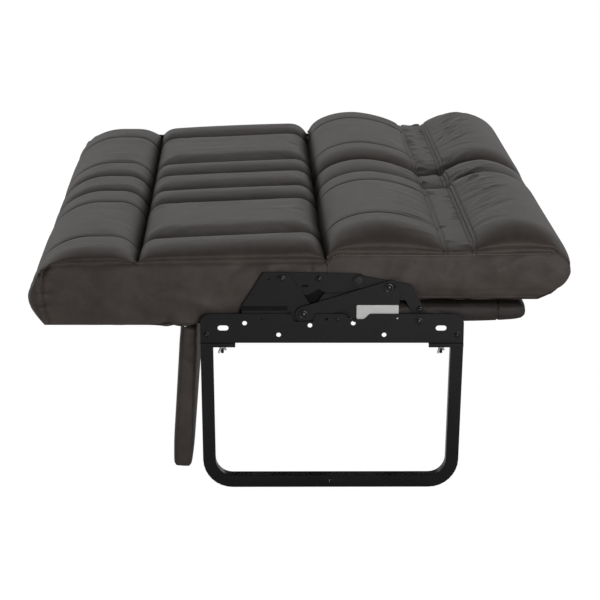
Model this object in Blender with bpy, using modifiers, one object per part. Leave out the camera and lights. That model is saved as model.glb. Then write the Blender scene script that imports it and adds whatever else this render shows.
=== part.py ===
"""Jackknife sofa, laid flat as a bed.

Two steel end mechanisms stand on U-shaped legs and carry an upholstered seat and back. In each of them
four pivots make a four-bar linkage: the support bracket holds the seat pivot and the link pivot, and the
seat bracket, the back bracket and the control link are the bars that move when the back folds up.
Metres, +Z up, +X along the sofa's width, the front towards -Y, the floor at Z = 0.
"""
from math import atan2, cos, pi, radians, sin, tan

import bmesh
import bpy
from mathutils import Matrix, Vector

for old_object in list(bpy.data.objects):
    bpy.data.objects.remove(old_object, do_unlink=True)

# Clearances
CLEAR = 0.0003           # between pieces that touch
MERGE = 0.00001          # points closer than this are one point

# Legs and base rails
LEG_TUBE = 0.0254        # square tube
LEG_HEIGHT = 0.3009
LEG_BEND = 0.060         # outer radius of the tube's bends
LEG_LEAN = radians(1.1)  # each upright leans inward towards the floor
LEG_HOLE = 0.004         # radius of the hole at the middle of the floor tube
BASE_CENTRE_Y = 0.063
RAIL_LENGTH = 0.527
RAIL_HEIGHT = 0.060
RAIL_WALL = 0.003
RAIL_CORNER = 0.019
RAIL_SLOT_LENGTH = 0.022
RAIL_SLOT_HEIGHT = 0.011
RAIL_SLOT_INSET = 0.0455  # from the rail's end
RAIL_SLOT_RISE = 0.0305   # above the rail's lower edge
RAIL_HOLE = 0.0048       # radius
RAIL_HOLE_LOW = 0.0165   # height of the lower row of holes
RAIL_HOLE_HIGH = 0.0405  # height of the upper row of holes
RAIL_HOLES_LOW = (-0.252, -0.107, 0.104, 0.250)  # each hole's place along the rail, from its middle
RAIL_HOLES_HIGH = (-0.175, 0.042)
RAIL_HOLE_MIDDLE = 0.036  # height of the hole under the link's recess
RAIL_HOLES_MIDDLE = (-0.0445,)
RAIL_HOLE_SMALL = 0.003   # radius of the holes under the upper edge
RAIL_HOLE_TOP = 0.0495   # their height
RAIL_HOLES_TOP = (-0.141, -0.012, 0.131)
LINK_RECESS_DEPTH = 0.014  # below the link pivot
LINK_RECESS_REACH = 0.024  # half the width of the recess round the link pivot
LINK_RECESS_FLOOR = 0.019  # and half the width of its floor
LABEL_DIP_DEPTH = 0.011
LABEL_DIP_LENGTH = 0.050
LABEL_DIP_START = 0.083  # behind the link pivot
TAB_LENGTH = 0.070
TAB_PLATE = 0.0025
TAB_LIP = 0.0085
STUD_RADIUS = 0.003
STUD_LENGTH = 0.024
STUD_INSET = 0.044       # from the rail's end
NUT_RADIUS = 0.0062
NUT_TIP_RADIUS = 0.005
NUT_HEIGHT = 0.010
WING_ROOT = 0.0042       # from the stud's axis to where a wing starts, inside the nut
WING_SPAN = 0.014        # and to its tip
WING_SHOULDER = 0.0035   # below the nut's top
WING_ROOT_DEPTH = 0.0055
WING_TIP_HIGH = 0.005    # below the shoulder
WING_TIP_LOW = 0.013
WING_CORNER = 0.003
WING_THICK = 0.003
CROSS_TUBE = 0.0254
CROSS_WALL = 0.002
CROSS_INSET_FRONT = 0.0695
CROSS_INSET_REAR = 0.076

# Linkage: each pivot's place, Z above the rail's lower edge
SEAT_PIVOT_Y = -0.038
SEAT_PIVOT_RISE = 0.130
FOLD_PIVOT_Y = 0.116
FOLD_PIVOT_RISE = 0.127
LINK_PIN_Y = 0.175
LINK_PIN_RISE = 0.113
LINK_PIVOT_Y = 0.005
LINK_PIVOT_RISE = 0.058
PLATE = 0.003
HEAD_ROOM = 0.0024       # for pin heads, between the back bracket and the control link
PIN_RADIUS = 0.004
HEAD_RADIUS = 0.008
HEAD_HEIGHT = 0.0018
LINK_HEAD_RADIUS = 0.0096
PIVOT_EYE = 0.013        # radius of a bracket's rounded end round its pivot
LINK_BOSS = 0.016
LINK_LOBE = 0.096        # length of the control link's lower lobe
PLATE_CORNER = 0.004     # radius of the plates' small corners
SLOT_TRAVEL = 0.0090     # lost motion of the link pin along the control link
SLOT_SLACK = 0.0014      # and across it
SUPPORT_TOP_LENGTH = 0.050
SUPPORT_FOOT_LENGTH = 0.091
SUPPORT_FOOT_DEPTH = 0.052
SUPPORT_RELIEF_LENGTH = 0.016  # corner left out of the foot behind the rail's front upper hole
SUPPORT_RELIEF_DROP = 0.016    # its top below the bend
SUPPORT_BEND_RISE = 0.074
SUPPORT_BEND_DROP = 0.008
SUPPORT_TAIL_START = 0.041  # the tail behind the control link, from the link pivot
SUPPORT_TAIL_SHOULDER = 0.092
SUPPORT_TAIL_END = 0.113
SUPPORT_TAIL_STEP = 0.030   # from the shoulder forward to where the tail's lower edge steps down
SUPPORT_TAIL_RISE = 0.100   # top of the tail above the rail's lower edge, as are the next two
SUPPORT_TAIL_HIGH = 0.076   # at its end
SUPPORT_TAIL_LOW = 0.048
SUPPORT_HOLE = 0.003        # radius of the spare hole in front of the seat pivot
SUPPORT_HOLE_REACH = 0.027
SEAT_SLOT_Y = 0.008         # middle of the small slot in the seat bracket
SEAT_SLOT_DROP = 0.0155     # below the seat pivot
SEAT_SLOT_LENGTH = 0.010
SEAT_SLOT_RADIUS = 0.0018
SEAT_BRACKET_DROP = 0.034  # lower edge below the seat pivot
SEAT_BRACKET_TAPER = 0.020  # where the lower edge starts to rise to the fold pivot
NOTCH_REACH = 0.021      # half the width of the notch below the seat bolt
NOTCH_RISE = 0.020       # its tip below the seat bolt
ARM_WIDTH = 0.028
ARM_ELBOW_Y = 0.222
ARM_ELBOW_RISE = 0.103
ARM_TIP_Y = 0.241
STOP_PIN_Y = 0.236
STOP_PIN_RISE = 0.045
STOP_PIN_RADIUS = 0.005
BOLT_RADIUS = 0.004
BOLT_HEAD_RADIUS = 0.0068
BOLT_HEAD_TOP = 0.0054   # radius of the head's outer face
BOLT_HEAD_HEIGHT = 0.003
SEAT_BOLT_Y = 0.036
SEAT_BOLT_RISE = 0.129
BACK_BOLT_Y = 0.238
BACK_BOLT_RISE = 0.067
BACK_BOLT_LENGTH = 0.040

# Upholstery across the width: half-widths to the sewn lines
CUSHION_WIDTH = 1.430
SEAM_OUTER = 0.565
SEAM_MIDDLE = 0.225
SEAM_CENTRE = 0.085
SEAM_REACH = 0.030       # from a sewn line to where its pad is full
SEAM_THIN = 0.005        # depth of a flat sewn line
SEAM_DEEP = 0.017        # depth of a stuffed channel
END_TUCK = 0.004         # how far the ends are drawn in at their seams
END_EDGE = 0.020         # from an end to the first station inside it
STATION_GAP = 0.006      # least distance between two stations
END_REACH = 0.130        # where the pads' tops begin to fall to their ends
ROUND = 2.0              # a pad's edge that rolls over in a quarter circle
SOFT = 1.6               # one that rolls over less fully
SLOPED = 1.25            # one that falls almost straight

# Seat cushion
JOINT_LINE_Y = 0.0525    # middle of the gap between seat and back
CUSHION_GAP = 0.005
SEAT_DEPTH = 0.591
SEAT_COVE = 0.018        # hollow of the seat's rear face, where the back's pads swing past
SEAT_COVE_EASE = 0.060   # over which the hollow ends, short of the end rails
SEAT_RISE = 0.037        # underside above the rail's lower edge
SEAT_FRONT_HEIGHT = 0.069  # where the front swells most
SEAT_FRONT_TUCK = 0.026
BOLSTER_DEPTH = 0.216
BOLSTER_FRONT_REACH = 0.130  # from the front to where the bolster is full
BOLSTER_REAR_REACH = 0.054
PAD_FRONT_REACH = 0.043
BOLSTER_CREST = 0.147    # above the underside, as are the next three
PAD_CREST_FRONT = 0.146
PAD_CREST_REAR = 0.170
SEAT_END_SEAM = 0.126
CHANNEL_DEPTH = 0.022
SEAT_REAR_DROP = 0.040
SEAT_REAR_REACH = 0.050
BOARD_THICK = 0.022      # the frames' timber
SEAT_WALL = 0.030        # padding outside the frame
END_RAIL_COVER = 0.005   # padding behind the end rails
SEAT_RAIL_HEIGHT = 0.048
SEAT_END_RAIL_HEIGHT = 0.104
COVER_THICK = 0.0015
SPRING_WIRE = 0.0019     # radius
SPRING_WIDTH = 0.050
SPRING_BENDS = 12
SPRING_LEAD = 0.004      # straight wire at each end
SEAT_SPRING_PITCH = 0.330
BACK_SPRING_PITCH = 0.480

# Back cushion and board
BACK_DEPTH = 0.486
BACK_RISE = 0.086        # underside above the rail's lower edge
BACK_CREST = 0.147       # above the underside, as is the next
BACK_END_SEAM = 0.094
BACK_FRONT_DROP = 0.070
BACK_FRONT_REACH = 0.150
BACK_FRONT_TUCK = 0.010
BACK_REAR_DROP = 0.076
BACK_REAR_REACH = 0.110
BACK_REAR_TUCK = 0.064
BAND_START = 0.231       # from the cushion's front
BAND_WIDTH = 0.057
BAND_DEPTH = 0.020
BAND_REACH = 0.070
BACK_WALL = 0.030
PANEL_THICK = 0.037
PANEL_START = 0.094      # from the cushion's front
PANEL_LENGTH = 0.304
PANEL_GAP = 0.006        # shadow gap between the board and the cushion
PANEL_EDGE = 0.004       # radius of the board's front corners
PANEL_NOSE = 0.0165      # and of its rear ones
BACK_RAIL_HEIGHT = 0.040

# Front panel
FRONT_PANEL_WIDTH = 1.400
FRONT_PANEL_HEIGHT = 0.298
FRONT_PANEL_THICK = 0.037
FRONT_PANEL_LEAN = radians(4.0)
FRONT_PANEL_AXIS = 0.0077  # hinge axis behind the panel's front face
FRONT_PANEL_CORNER = 0.006
HINGE_Y = -0.232
HINGE_DROP = 0.009       # axis below the seat's underside
HINGE_ROD = 0.003
HINGE_LEAF = 0.024
HINGE_PLATE = 0.0015

# Places that follow from the sizes above
HALF_WIDTH = CUSHION_WIDTH / 2
RAIL_Z = LEG_HEIGHT + TAB_PLATE + 2 * CLEAR
SEAT_Z = RAIL_Z + SEAT_RISE
BACK_Z = RAIL_Z + BACK_RISE
SEAT_REAR_Y = JOINT_LINE_Y - CUSHION_GAP / 2
SEAT_FRONT_Y = SEAT_REAR_Y - SEAT_DEPTH
BACK_FRONT_Y = JOINT_LINE_Y + CUSHION_GAP / 2
BACK_REAR_Y = BACK_FRONT_Y + BACK_DEPTH
SEAT_PIVOT = Vector((SEAT_PIVOT_Y, RAIL_Z + SEAT_PIVOT_RISE))
FOLD_PIVOT = Vector((FOLD_PIVOT_Y, RAIL_Z + FOLD_PIVOT_RISE))
LINK_PIN = Vector((LINK_PIN_Y, RAIL_Z + LINK_PIN_RISE))
LINK_PIVOT = Vector((LINK_PIVOT_Y, RAIL_Z + LINK_PIVOT_RISE))
# Layers of the end mechanism, counted out from the cushion's end: inner and outer face of each
SEAT_LAYER = (HALF_WIDTH + CLEAR, HALF_WIDTH + CLEAR + PLATE)
ARM_LAYER = (SEAT_LAYER[1] + CLEAR, SEAT_LAYER[1] + CLEAR + PLATE)
LINK_LAYER = (ARM_LAYER[1] + HEAD_ROOM, ARM_LAYER[1] + HEAD_ROOM + PLATE)
RAIL_LAYER = (LINK_LAYER[1] + CLEAR, LINK_LAYER[1] + CLEAR + RAIL_WALL)
LEG_LAYER = (RAIL_LAYER[1] - LEG_TUBE, RAIL_LAYER[1])
SIDES = (("right", 1), ("left", -1))

sofa = bpy.data.collections.new("jackknife_sofa")
cutters = bpy.data.collections.new("cutters")
for group in (sofa, cutters):
    bpy.context.scene.collection.children.link(group)


# Materials

def finish(name, colour, roughness, metallic=0.0):
    material = bpy.data.materials.new(name)
    material.use_nodes = True
    shader = material.node_tree.nodes["Principled BSDF"]
    shader.inputs["Base Color"].default_value = (*colour, 1.0)
    shader.inputs["Roughness"].default_value = roughness
    shader.inputs["Metallic"].default_value = metallic
    return material


LEATHERETTE = finish("leatherette", (0.030, 0.024, 0.022), 0.42)
BLACK_STEEL = finish("black_steel", (0.012, 0.012, 0.012), 0.38)
ZINC = finish("zinc", (0.62, 0.62, 0.60), 0.35, 1.0)
TIMBER = finish("timber", (0.45, 0.31, 0.18), 0.65)
SPRING_STEEL = finish("spring_steel", (0.30, 0.30, 0.31), 0.40, 1.0)
DUST_CLOTH = finish("dust_cloth", (0.015, 0.015, 0.015), 0.90)


# Shared shapes

def axis_empty(name, y, z, parent=None):
    """Marks a joint axis along X, to carry the pieces that turn on it."""
    empty = bpy.data.objects.new(name, None)
    empty.location = (0, y, z)
    sofa.objects.link(empty)
    if parent:
        carry(empty, parent)
    return empty


def carry(piece, parent):
    bpy.context.view_layer.update()
    piece.parent = parent
    piece.matrix_parent_inverse = parent.matrix_world.inverted()


def add(piece, material, parent=None):
    sofa.objects.link(piece)
    piece.data.materials.append(material)
    if parent:
        carry(piece, parent)
    return piece


def tool(piece):
    """Keeps a shape that only cuts or joins others."""
    cutters.objects.link(piece)
    piece.hide_render = True
    piece.display_type = "WIRE"
    return piece


def combine(piece, operation, *others):
    for other in others:
        modifier = piece.modifiers.new(operation.lower(), "BOOLEAN")
        modifier.operation = operation
        modifier.object = other


def finished_mesh(bm, name):
    mesh = bpy.data.meshes.new(name)
    bm.to_mesh(mesh)
    bm.free()
    return bpy.data.objects.new(name, mesh)


def box(name, low, high):
    low, high = Vector(low), Vector(high)
    bm = bmesh.new()
    bmesh.ops.create_cube(bm, size=1)
    bmesh.ops.scale(bm, vec=high - low, verts=bm.verts)
    bmesh.ops.translate(bm, vec=(low + high) / 2, verts=bm.verts)
    return finished_mesh(bm, name)


def rounded(*corners, steps=5):
    """Closed outline through corners (y, z, radius), each rounded by its radius."""
    points = []
    for index, (y, z, radius) in enumerate(corners):
        corner = Vector((y, z))
        back = (Vector(corners[index - 1][:2]) - corner).normalized()
        ahead = (Vector(corners[(index + 1) % len(corners)][:2]) - corner).normalized()
        if not radius:
            points.append(corner)
            continue
        half_angle = back.angle(ahead) / 2
        centre = corner + (back + ahead).normalized() * (radius / sin(half_angle))
        first = corner + back * (radius / tan(half_angle)) - centre
        last = corner + ahead * (radius / tan(half_angle)) - centre
        sweep = atan2(first.x * last.y - first.y * last.x, first.dot(last))
        for step in range(steps + 1):
            points.append(centre + Matrix.Rotation(sweep * step / steps, 2) @ first)
    return points


def circle(y, z, radius, sides=14):
    return [Vector((y + radius * cos(turn), z + radius * sin(turn)))
            for turn in (2 * pi * side / sides for side in range(sides))]


def bar_outline(first, second, first_radius, second_radius, steps=8):
    """Outline of a bar with round ends about two points."""
    along = second - first
    bearing = atan2(along.y, along.x)
    points = []
    for centre, radius, start in ((second, second_radius, bearing - pi / 2),
                                  (first, first_radius, bearing + pi / 2)):
        for step in range(steps + 1):
            turn = start + pi * step / steps
            points.append(centre + radius * Vector((cos(turn), sin(turn))))
    return points


def outlined(name, edges, low, high, upright="YZ"):
    """Solid with a flat outline and holes, drawn on the YZ or XZ plane and as thick as low to high."""
    curve = bpy.data.curves.new(name, "CURVE")
    curve.dimensions = "2D"
    curve.fill_mode = "BOTH"
    curve.extrude = abs(high - low) / 2
    for edge in edges:
        spline = curve.splines.new("POLY")
        spline.points.add(len(edge) - 1)
        for point, place in zip(spline.points, edge):
            point.co = (place[0], place[1], 0, 1)
        spline.use_cyclic_u = True
    drawn = bpy.data.objects.new(name, curve)
    bpy.context.scene.collection.objects.link(drawn)
    bpy.context.view_layer.update()
    mesh = bpy.data.meshes.new_from_object(drawn.evaluated_get(bpy.context.evaluated_depsgraph_get()))
    bpy.data.objects.remove(drawn)
    if upright == "YZ":
        turn = Matrix(((0, 0, 1), (1, 0, 0), (0, 1, 0))).to_4x4()
        shift = Matrix.Translation(((low + high) / 2, 0, 0))
    else:
        turn = Matrix(((1, 0, 0), (0, 0, 1), (0, 1, 0))).to_4x4()
        shift = Matrix.Translation((0, (low + high) / 2, 0))
    bm = bmesh.new()
    bm.from_mesh(mesh)
    bmesh.ops.transform(bm, matrix=shift @ turn, verts=bm.verts)
    bmesh.ops.remove_doubles(bm, verts=bm.verts, dist=MERGE)
    bmesh.ops.recalc_face_normals(bm, faces=bm.faces)
    return finished_mesh(bm, name)


def turned(name, profile, place, axis="X", sides=14):
    """Round solid about X (outward on either side) or Z, from (height, radius) pairs, top first."""
    bm = bmesh.new()
    spots = [(0, profile[0][0]), *((radius, height) for height, radius in profile), (0, profile[-1][0])]
    line = [bm.verts.new((radius, 0, height)) for radius, height in spots]
    for first, second in zip(line, line[1:]):
        bm.edges.new((first, second))
    piece = finished_mesh(bm, name)
    screw = piece.modifiers.new("turn", "SCREW")
    screw.steps = screw.render_steps = sides
    screw.use_merge_vertices = True
    screw.merge_threshold = MERGE
    piece.location = place
    if axis != "Z":
        piece.rotation_euler.y = pi / 2 if axis == "X" else -pi / 2
    return piece


def pin(name, side, place, profile):
    """Pin across the end mechanism, from (distance from the middle plane, radius) pairs, outside first."""
    return turned(name, profile, (0, place.x, place.y), "X" if side > 0 else "-X")


def hole_tool(name, side, place, inner, outer, radius):
    return tool(pin(name, side, place, [(outer, radius), (inner, radius)]))


def layer(side, faces):
    """World X of a layer's lower and higher face on one side of the sofa."""
    return sorted(side * face for face in faces)


# Base: legs, tabs, rails and cross rails

def leg_frame(name, side):
    half_top = RAIL_LENGTH / 2
    half_floor = half_top - LEG_HEIGHT * tan(LEG_LEAN)
    front, rear = BASE_CENTRE_Y - half_floor, BASE_CENTRE_Y + half_floor
    front_top, rear_top = BASE_CENTRE_Y - half_top, BASE_CENTRE_Y + half_top
    inner_bend = LEG_BEND - LEG_TUBE
    tube_lean = LEG_TUBE * tan(LEG_LEAN)
    edge = rounded((front_top, LEG_HEIGHT, 0), (front, 0, LEG_BEND), (rear, 0, LEG_BEND),
                   (rear_top, LEG_HEIGHT, 0), (rear_top - LEG_TUBE, LEG_HEIGHT, 0),
                   (rear - LEG_TUBE + tube_lean, LEG_TUBE, inner_bend),
                   (front + LEG_TUBE - tube_lean, LEG_TUBE, inner_bend),
                   (front_top + LEG_TUBE, LEG_HEIGHT, 0), steps=8)
    frame = add(outlined(name, [edge], *layer(side, LEG_LAYER)), BLACK_STEEL)
    middle = Vector((BASE_CENTRE_Y, LEG_TUBE / 2))
    combine(frame, "DIFFERENCE", hole_tool(name + "_hole", side, middle, LEG_LAYER[0] - PLATE,
                                           LEG_LAYER[1] + PLATE, LEG_HOLE))


def rail_ends():
    """Front and rear end of the rails, with the direction from each end to the middle."""
    half = RAIL_LENGTH / 2
    return (("front", BASE_CENTRE_Y - half, 1), ("rear", BASE_CENTRE_Y + half, -1))


def stud_place(side, end_y, inward):
    return side * (LEG_LAYER[0] + LEG_LAYER[1]) / 2, end_y + inward * STUD_INSET


def leg_tab(name, side, end_y, inward):
    """Folded plate on the leg's top, with a lip outside the leg."""
    top = LEG_HEIGHT + CLEAR + TAB_PLATE
    inner, outer = LEG_LAYER[0], LEG_LAYER[1] + CLEAR
    section = [(inner, top), (outer + TAB_PLATE, top), (outer + TAB_PLATE, top - TAB_LIP),
               (outer, top - TAB_LIP), (outer, top - TAB_PLATE), (inner, top - TAB_PLATE)]
    section = [Vector((side * x, z)) for x, z in section]
    tab = add(outlined(name, [section], end_y, end_y + inward * TAB_LENGTH, "XZ"), BLACK_STEEL)
    x, y = stud_place(side, end_y, inward)
    bore = [(top + TAB_PLATE, STUD_RADIUS + CLEAR), (top - 2 * TAB_PLATE, STUD_RADIUS + CLEAR)]
    combine(tab, "DIFFERENCE", tool(turned(name + "_bore", bore, (x, y, 0), "Z")))


def wing_nut(name, side, end_y, inward):
    top = LEG_HEIGHT
    x, y = stud_place(side, end_y, inward)
    nut = add(turned(name, [(top, NUT_RADIUS), (top - NUT_HEIGHT, NUT_TIP_RADIUS)], (x, y, 0), "Z"), ZINC)
    shoulder = top - WING_SHOULDER
    wings = []
    for way in (1, -1):
        root, tip = y + way * WING_ROOT, y + way * WING_SPAN
        edge = rounded((root, shoulder, 0), (tip, shoulder - WING_TIP_HIGH, WING_CORNER),
                       (tip, shoulder - WING_TIP_LOW, WING_CORNER), (root, shoulder - WING_ROOT_DEPTH, 0),
                       steps=3)
        wings.append(tool(outlined(f"{name}_wing", [edge], x - WING_THICK / 2, x + WING_THICK / 2)))
    combine(nut, "UNION", *wings)
    bore = [(top + NUT_HEIGHT, STUD_RADIUS + CLEAR), (top - 2 * NUT_HEIGHT, STUD_RADIUS + CLEAR)]
    combine(nut, "DIFFERENCE", tool(turned(name + "_bore", bore, (x, y, 0), "Z")))


def rail_outline():
    """The rail seen from its end of the sofa: upper edge with its recess and dip, and the punched holes."""
    (_, front, _), (_, rear, _) = rail_ends()
    top, below = RAIL_Z + RAIL_HEIGHT, RAIL_Z - RAIL_WALL
    recess, dip = LINK_PIVOT.y - LINK_RECESS_DEPTH, top - LABEL_DIP_DEPTH
    dip_start = LINK_PIVOT.x + LABEL_DIP_START
    dip_end = dip_start + LABEL_DIP_LENGTH
    bend = RAIL_WALL * 2
    edge = rounded((front, below, 0), (rear, below, 0), (rear, top, RAIL_CORNER),
                   (dip_end, top, bend), (dip_end - LABEL_DIP_DEPTH, dip, bend),
                   (dip_start + LABEL_DIP_DEPTH, dip, bend), (dip_start, top, bend),
                   (LINK_PIVOT.x + LINK_RECESS_REACH, top, bend),
                   (LINK_PIVOT.x + LINK_RECESS_FLOOR, recess, bend),
                   (LINK_PIVOT.x - LINK_RECESS_FLOOR, recess, bend),
                   (LINK_PIVOT.x - LINK_RECESS_REACH, top, bend), (front, top, RAIL_CORNER), steps=4)
    holes = [circle(STOP_PIN_Y, RAIL_Z + STOP_PIN_RISE, STOP_PIN_RADIUS + CLEAR)]
    for _, end_y, inward in rail_ends():
        y, z = end_y + inward * RAIL_SLOT_INSET, RAIL_Z + RAIL_SLOT_RISE
        reach, radius = (RAIL_SLOT_LENGTH - RAIL_SLOT_HEIGHT) / 2, RAIL_SLOT_HEIGHT / 2
        holes.append(bar_outline(Vector((y - reach, z)), Vector((y + reach, z)), radius, radius, 6))
    for height, radius, places in ((RAIL_HOLE_TOP, RAIL_HOLE_SMALL, RAIL_HOLES_TOP),
                                   (RAIL_HOLE_HIGH, RAIL_HOLE, RAIL_HOLES_HIGH),
                                   (RAIL_HOLE_MIDDLE, RAIL_HOLE, RAIL_HOLES_MIDDLE),
                                   (RAIL_HOLE_LOW, RAIL_HOLE, RAIL_HOLES_LOW)):
        for place in places:
            holes.append(circle(BASE_CENTRE_Y + place, RAIL_Z + height, radius, 12))
    return [edge, *holes]


def base_rail(name, side):
    """Punched angle: an upright web with a flange below, and studs under the flange for the legs."""
    (_, front, _), (_, rear, _) = rail_ends()
    spare = RAIL_WALL * 2
    high = RAIL_Z + RAIL_HEIGHT + spare
    section = [(RAIL_LAYER[1], high), (RAIL_LAYER[1], RAIL_Z), (LEG_LAYER[0], RAIL_Z),
               (LEG_LAYER[0], RAIL_Z + RAIL_WALL), (RAIL_LAYER[0], RAIL_Z + RAIL_WALL), (RAIL_LAYER[0], high)]
    section = [Vector((side * x, z)) for x, z in section]
    rail = add(outlined(name, [section], front - spare, rear + spare, "XZ"), BLACK_STEEL)
    span = layer(side, (LEG_LAYER[0] - spare, RAIL_LAYER[1] + spare))
    combine(rail, "INTERSECT", tool(outlined(name + "_outline", rail_outline(), *span)))
    for end, end_y, inward in rail_ends():
        stud_x, stud_y = stud_place(side, end_y, inward)
        profile = [(RAIL_Z + RAIL_WALL / 2, STUD_RADIUS), (RAIL_Z - STUD_LENGTH, STUD_RADIUS)]
        combine(rail, "UNION", tool(turned(f"{name}_stud_{end}", profile, (stud_x, stud_y, 0), "Z", 12)))


def cross_rail(name, y):
    """Square tube on the rails' flanges, from rail to rail."""
    reach = RAIL_LAYER[0] - CLEAR
    low = RAIL_Z + RAIL_WALL + CLEAR
    half = CROSS_TUBE / 2
    tube = add(box(name, (-reach, y - half, low), (reach, y + half, low + CROSS_TUBE)), BLACK_STEEL)
    bore = tool(box(name + "_bore", (-HALF_WIDTH * 2, y - half + CROSS_WALL, low + CROSS_WALL),
                    (HALF_WIDTH * 2, y + half - CROSS_WALL, low + CROSS_TUBE - CROSS_WALL)))
    combine(tube, "DIFFERENCE", bore)


# Linkage

def support_bracket(name, side):
    """Plate that rises from the rail to the seat pivot, with a foot set out to meet the rail."""
    top = SEAT_PIVOT.y + PIVOT_EYE
    bend = RAIL_Z + SUPPORT_BEND_RISE
    foot_end = LINK_PIVOT.x - LINK_BOSS * 2
    foot_start = foot_end - SUPPORT_FOOT_LENGTH
    low = LINK_PIVOT.y - LINK_BOSS
    boss_end = LINK_PIVOT.x + LINK_BOSS
    tail_end = LINK_PIVOT.x + SUPPORT_TAIL_END
    tail_shoulder = LINK_PIVOT.x + SUPPORT_TAIL_SHOULDER
    tail_step = tail_shoulder - SUPPORT_TAIL_STEP
    tail_top, tail_low = RAIL_Z + SUPPORT_TAIL_RISE, RAIL_Z + SUPPORT_TAIL_LOW
    edge = rounded((SEAT_PIVOT.x + PIVOT_EYE, top, PIVOT_EYE),
                   (SEAT_PIVOT.x + PIVOT_EYE - SUPPORT_TOP_LENGTH, top, PLATE_CORNER), (foot_start, bend, 0),
                   (foot_end, bend, 0), (foot_end, low, PLATE_CORNER),
                   (tail_step, low, PLATE_CORNER), (tail_step + LINK_BOSS / 2, tail_low, PLATE_CORNER),
                   (tail_end, tail_low, PLATE_CORNER), (tail_end, RAIL_Z + SUPPORT_TAIL_HIGH, PLATE_CORNER),
                   (tail_shoulder, tail_top, PLATE_CORNER),
                   (LINK_PIVOT.x + SUPPORT_TAIL_START, tail_top, PLATE_CORNER),
                   (boss_end + LINK_BOSS / 2, LINK_PIVOT.y + LINK_BOSS, PLATE_CORNER),
                   (boss_end, LINK_PIVOT.y + LINK_BOSS, PLATE_CORNER))
    bores = [circle(*SEAT_PIVOT, PIN_RADIUS + CLEAR), circle(*LINK_PIVOT, PIN_RADIUS + CLEAR),
             circle(SEAT_PIVOT.x - SUPPORT_HOLE_REACH, SEAT_PIVOT.y, SUPPORT_HOLE)]
    bracket = add(outlined(name, [edge, *bores], *layer(side, ARM_LAYER)), BLACK_STEEL)
    step = bend - SUPPORT_BEND_DROP
    floor = bend - SUPPORT_FOOT_DEPTH
    lap = bend + PLATE / 2
    section = [(ARM_LAYER[0], lap), (ARM_LAYER[1], lap), (ARM_LAYER[1], bend), (LINK_LAYER[1], step),
               (LINK_LAYER[1], floor), (LINK_LAYER[0], floor), (LINK_LAYER[0], step - PLATE / 2),
               (ARM_LAYER[0], bend - PLATE / 2)]
    section = [Vector((side * x, z)) for x, z in section]
    combine(bracket, "UNION", tool(outlined(name + "_foot", [section], foot_start, foot_end, "XZ")))
    reach = LINK_LAYER[1] + PLATE
    relief = box(name + "_relief", (-reach, foot_start - PLATE, floor - PLATE),
                 (reach, foot_start + SUPPORT_RELIEF_LENGTH, bend - SUPPORT_RELIEF_DROP))
    combine(bracket, "DIFFERENCE", tool(relief))


def seat_bracket(name, side, parent):
    """Plate against the cushion's end, from the seat pivot to the fold pivot, notched below its bolt."""
    eye, corner = PIVOT_EYE, PLATE_CORNER
    front, rear = SEAT_PIVOT.x - eye, FOLD_PIVOT.x + eye
    notch_tip = RAIL_Z + SEAT_BOLT_RISE - NOTCH_RISE
    low = SEAT_PIVOT.y - SEAT_BRACKET_DROP
    edge = rounded((front, SEAT_PIVOT.y + eye, eye), (front, SEAT_PIVOT.y - eye, corner),
                   (front + eye, low, corner), (SEAT_BOLT_Y - NOTCH_REACH, low, corner),
                   (SEAT_BOLT_Y, notch_tip, corner), (SEAT_BOLT_Y + NOTCH_REACH, low, corner),
                   (FOLD_PIVOT.x - SEAT_BRACKET_TAPER, low, corner),
                   (rear, FOLD_PIVOT.y - eye, eye / 2), (rear, FOLD_PIVOT.y + eye, eye))
    bores = [circle(*place, radius + CLEAR) for place, radius in
             ((SEAT_PIVOT, PIN_RADIUS), (FOLD_PIVOT, PIN_RADIUS),
              (Vector((SEAT_BOLT_Y, RAIL_Z + SEAT_BOLT_RISE)), BOLT_RADIUS))]
    middle, half = Vector((SEAT_SLOT_Y, SEAT_PIVOT.y - SEAT_SLOT_DROP)), Vector((SEAT_SLOT_LENGTH / 2, 0))
    slot = bar_outline(middle - half, middle + half, SEAT_SLOT_RADIUS, SEAT_SLOT_RADIUS, 4)
    add(outlined(name, [edge, slot, *bores], *layer(side, SEAT_LAYER)), BLACK_STEEL, parent)


def back_bracket(name, side, parent):
    """Curved arm from the fold pivot down to the back board's end; its tip rests on the stop pin."""
    eye, half = PIVOT_EYE, ARM_WIDTH / 2
    elbow = Vector((ARM_ELBOW_Y, RAIL_Z + ARM_ELBOW_RISE))
    tip = RAIL_Z + STOP_PIN_RISE + STOP_PIN_RADIUS + CLEAR
    edge = rounded((FOLD_PIVOT.x - eye, FOLD_PIVOT.y + eye, eye),
                   (elbow.x, elbow.y + half, half), (ARM_TIP_Y + half, tip, PLATE_CORNER),
                   (ARM_TIP_Y - half, tip, PLATE_CORNER), (elbow.x - half, elbow.y - half, half),
                   (FOLD_PIVOT.x - eye, FOLD_PIVOT.y - eye, eye))
    bores = [circle(*place, radius + CLEAR) for place, radius in
             ((FOLD_PIVOT, PIN_RADIUS), (LINK_PIN, PIN_RADIUS),
              (Vector((BACK_BOLT_Y, RAIL_Z + BACK_BOLT_RISE)), BOLT_RADIUS))]
    add(outlined(name, [edge, *bores], *layer(side, ARM_LAYER)), BLACK_STEEL, parent)


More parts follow.
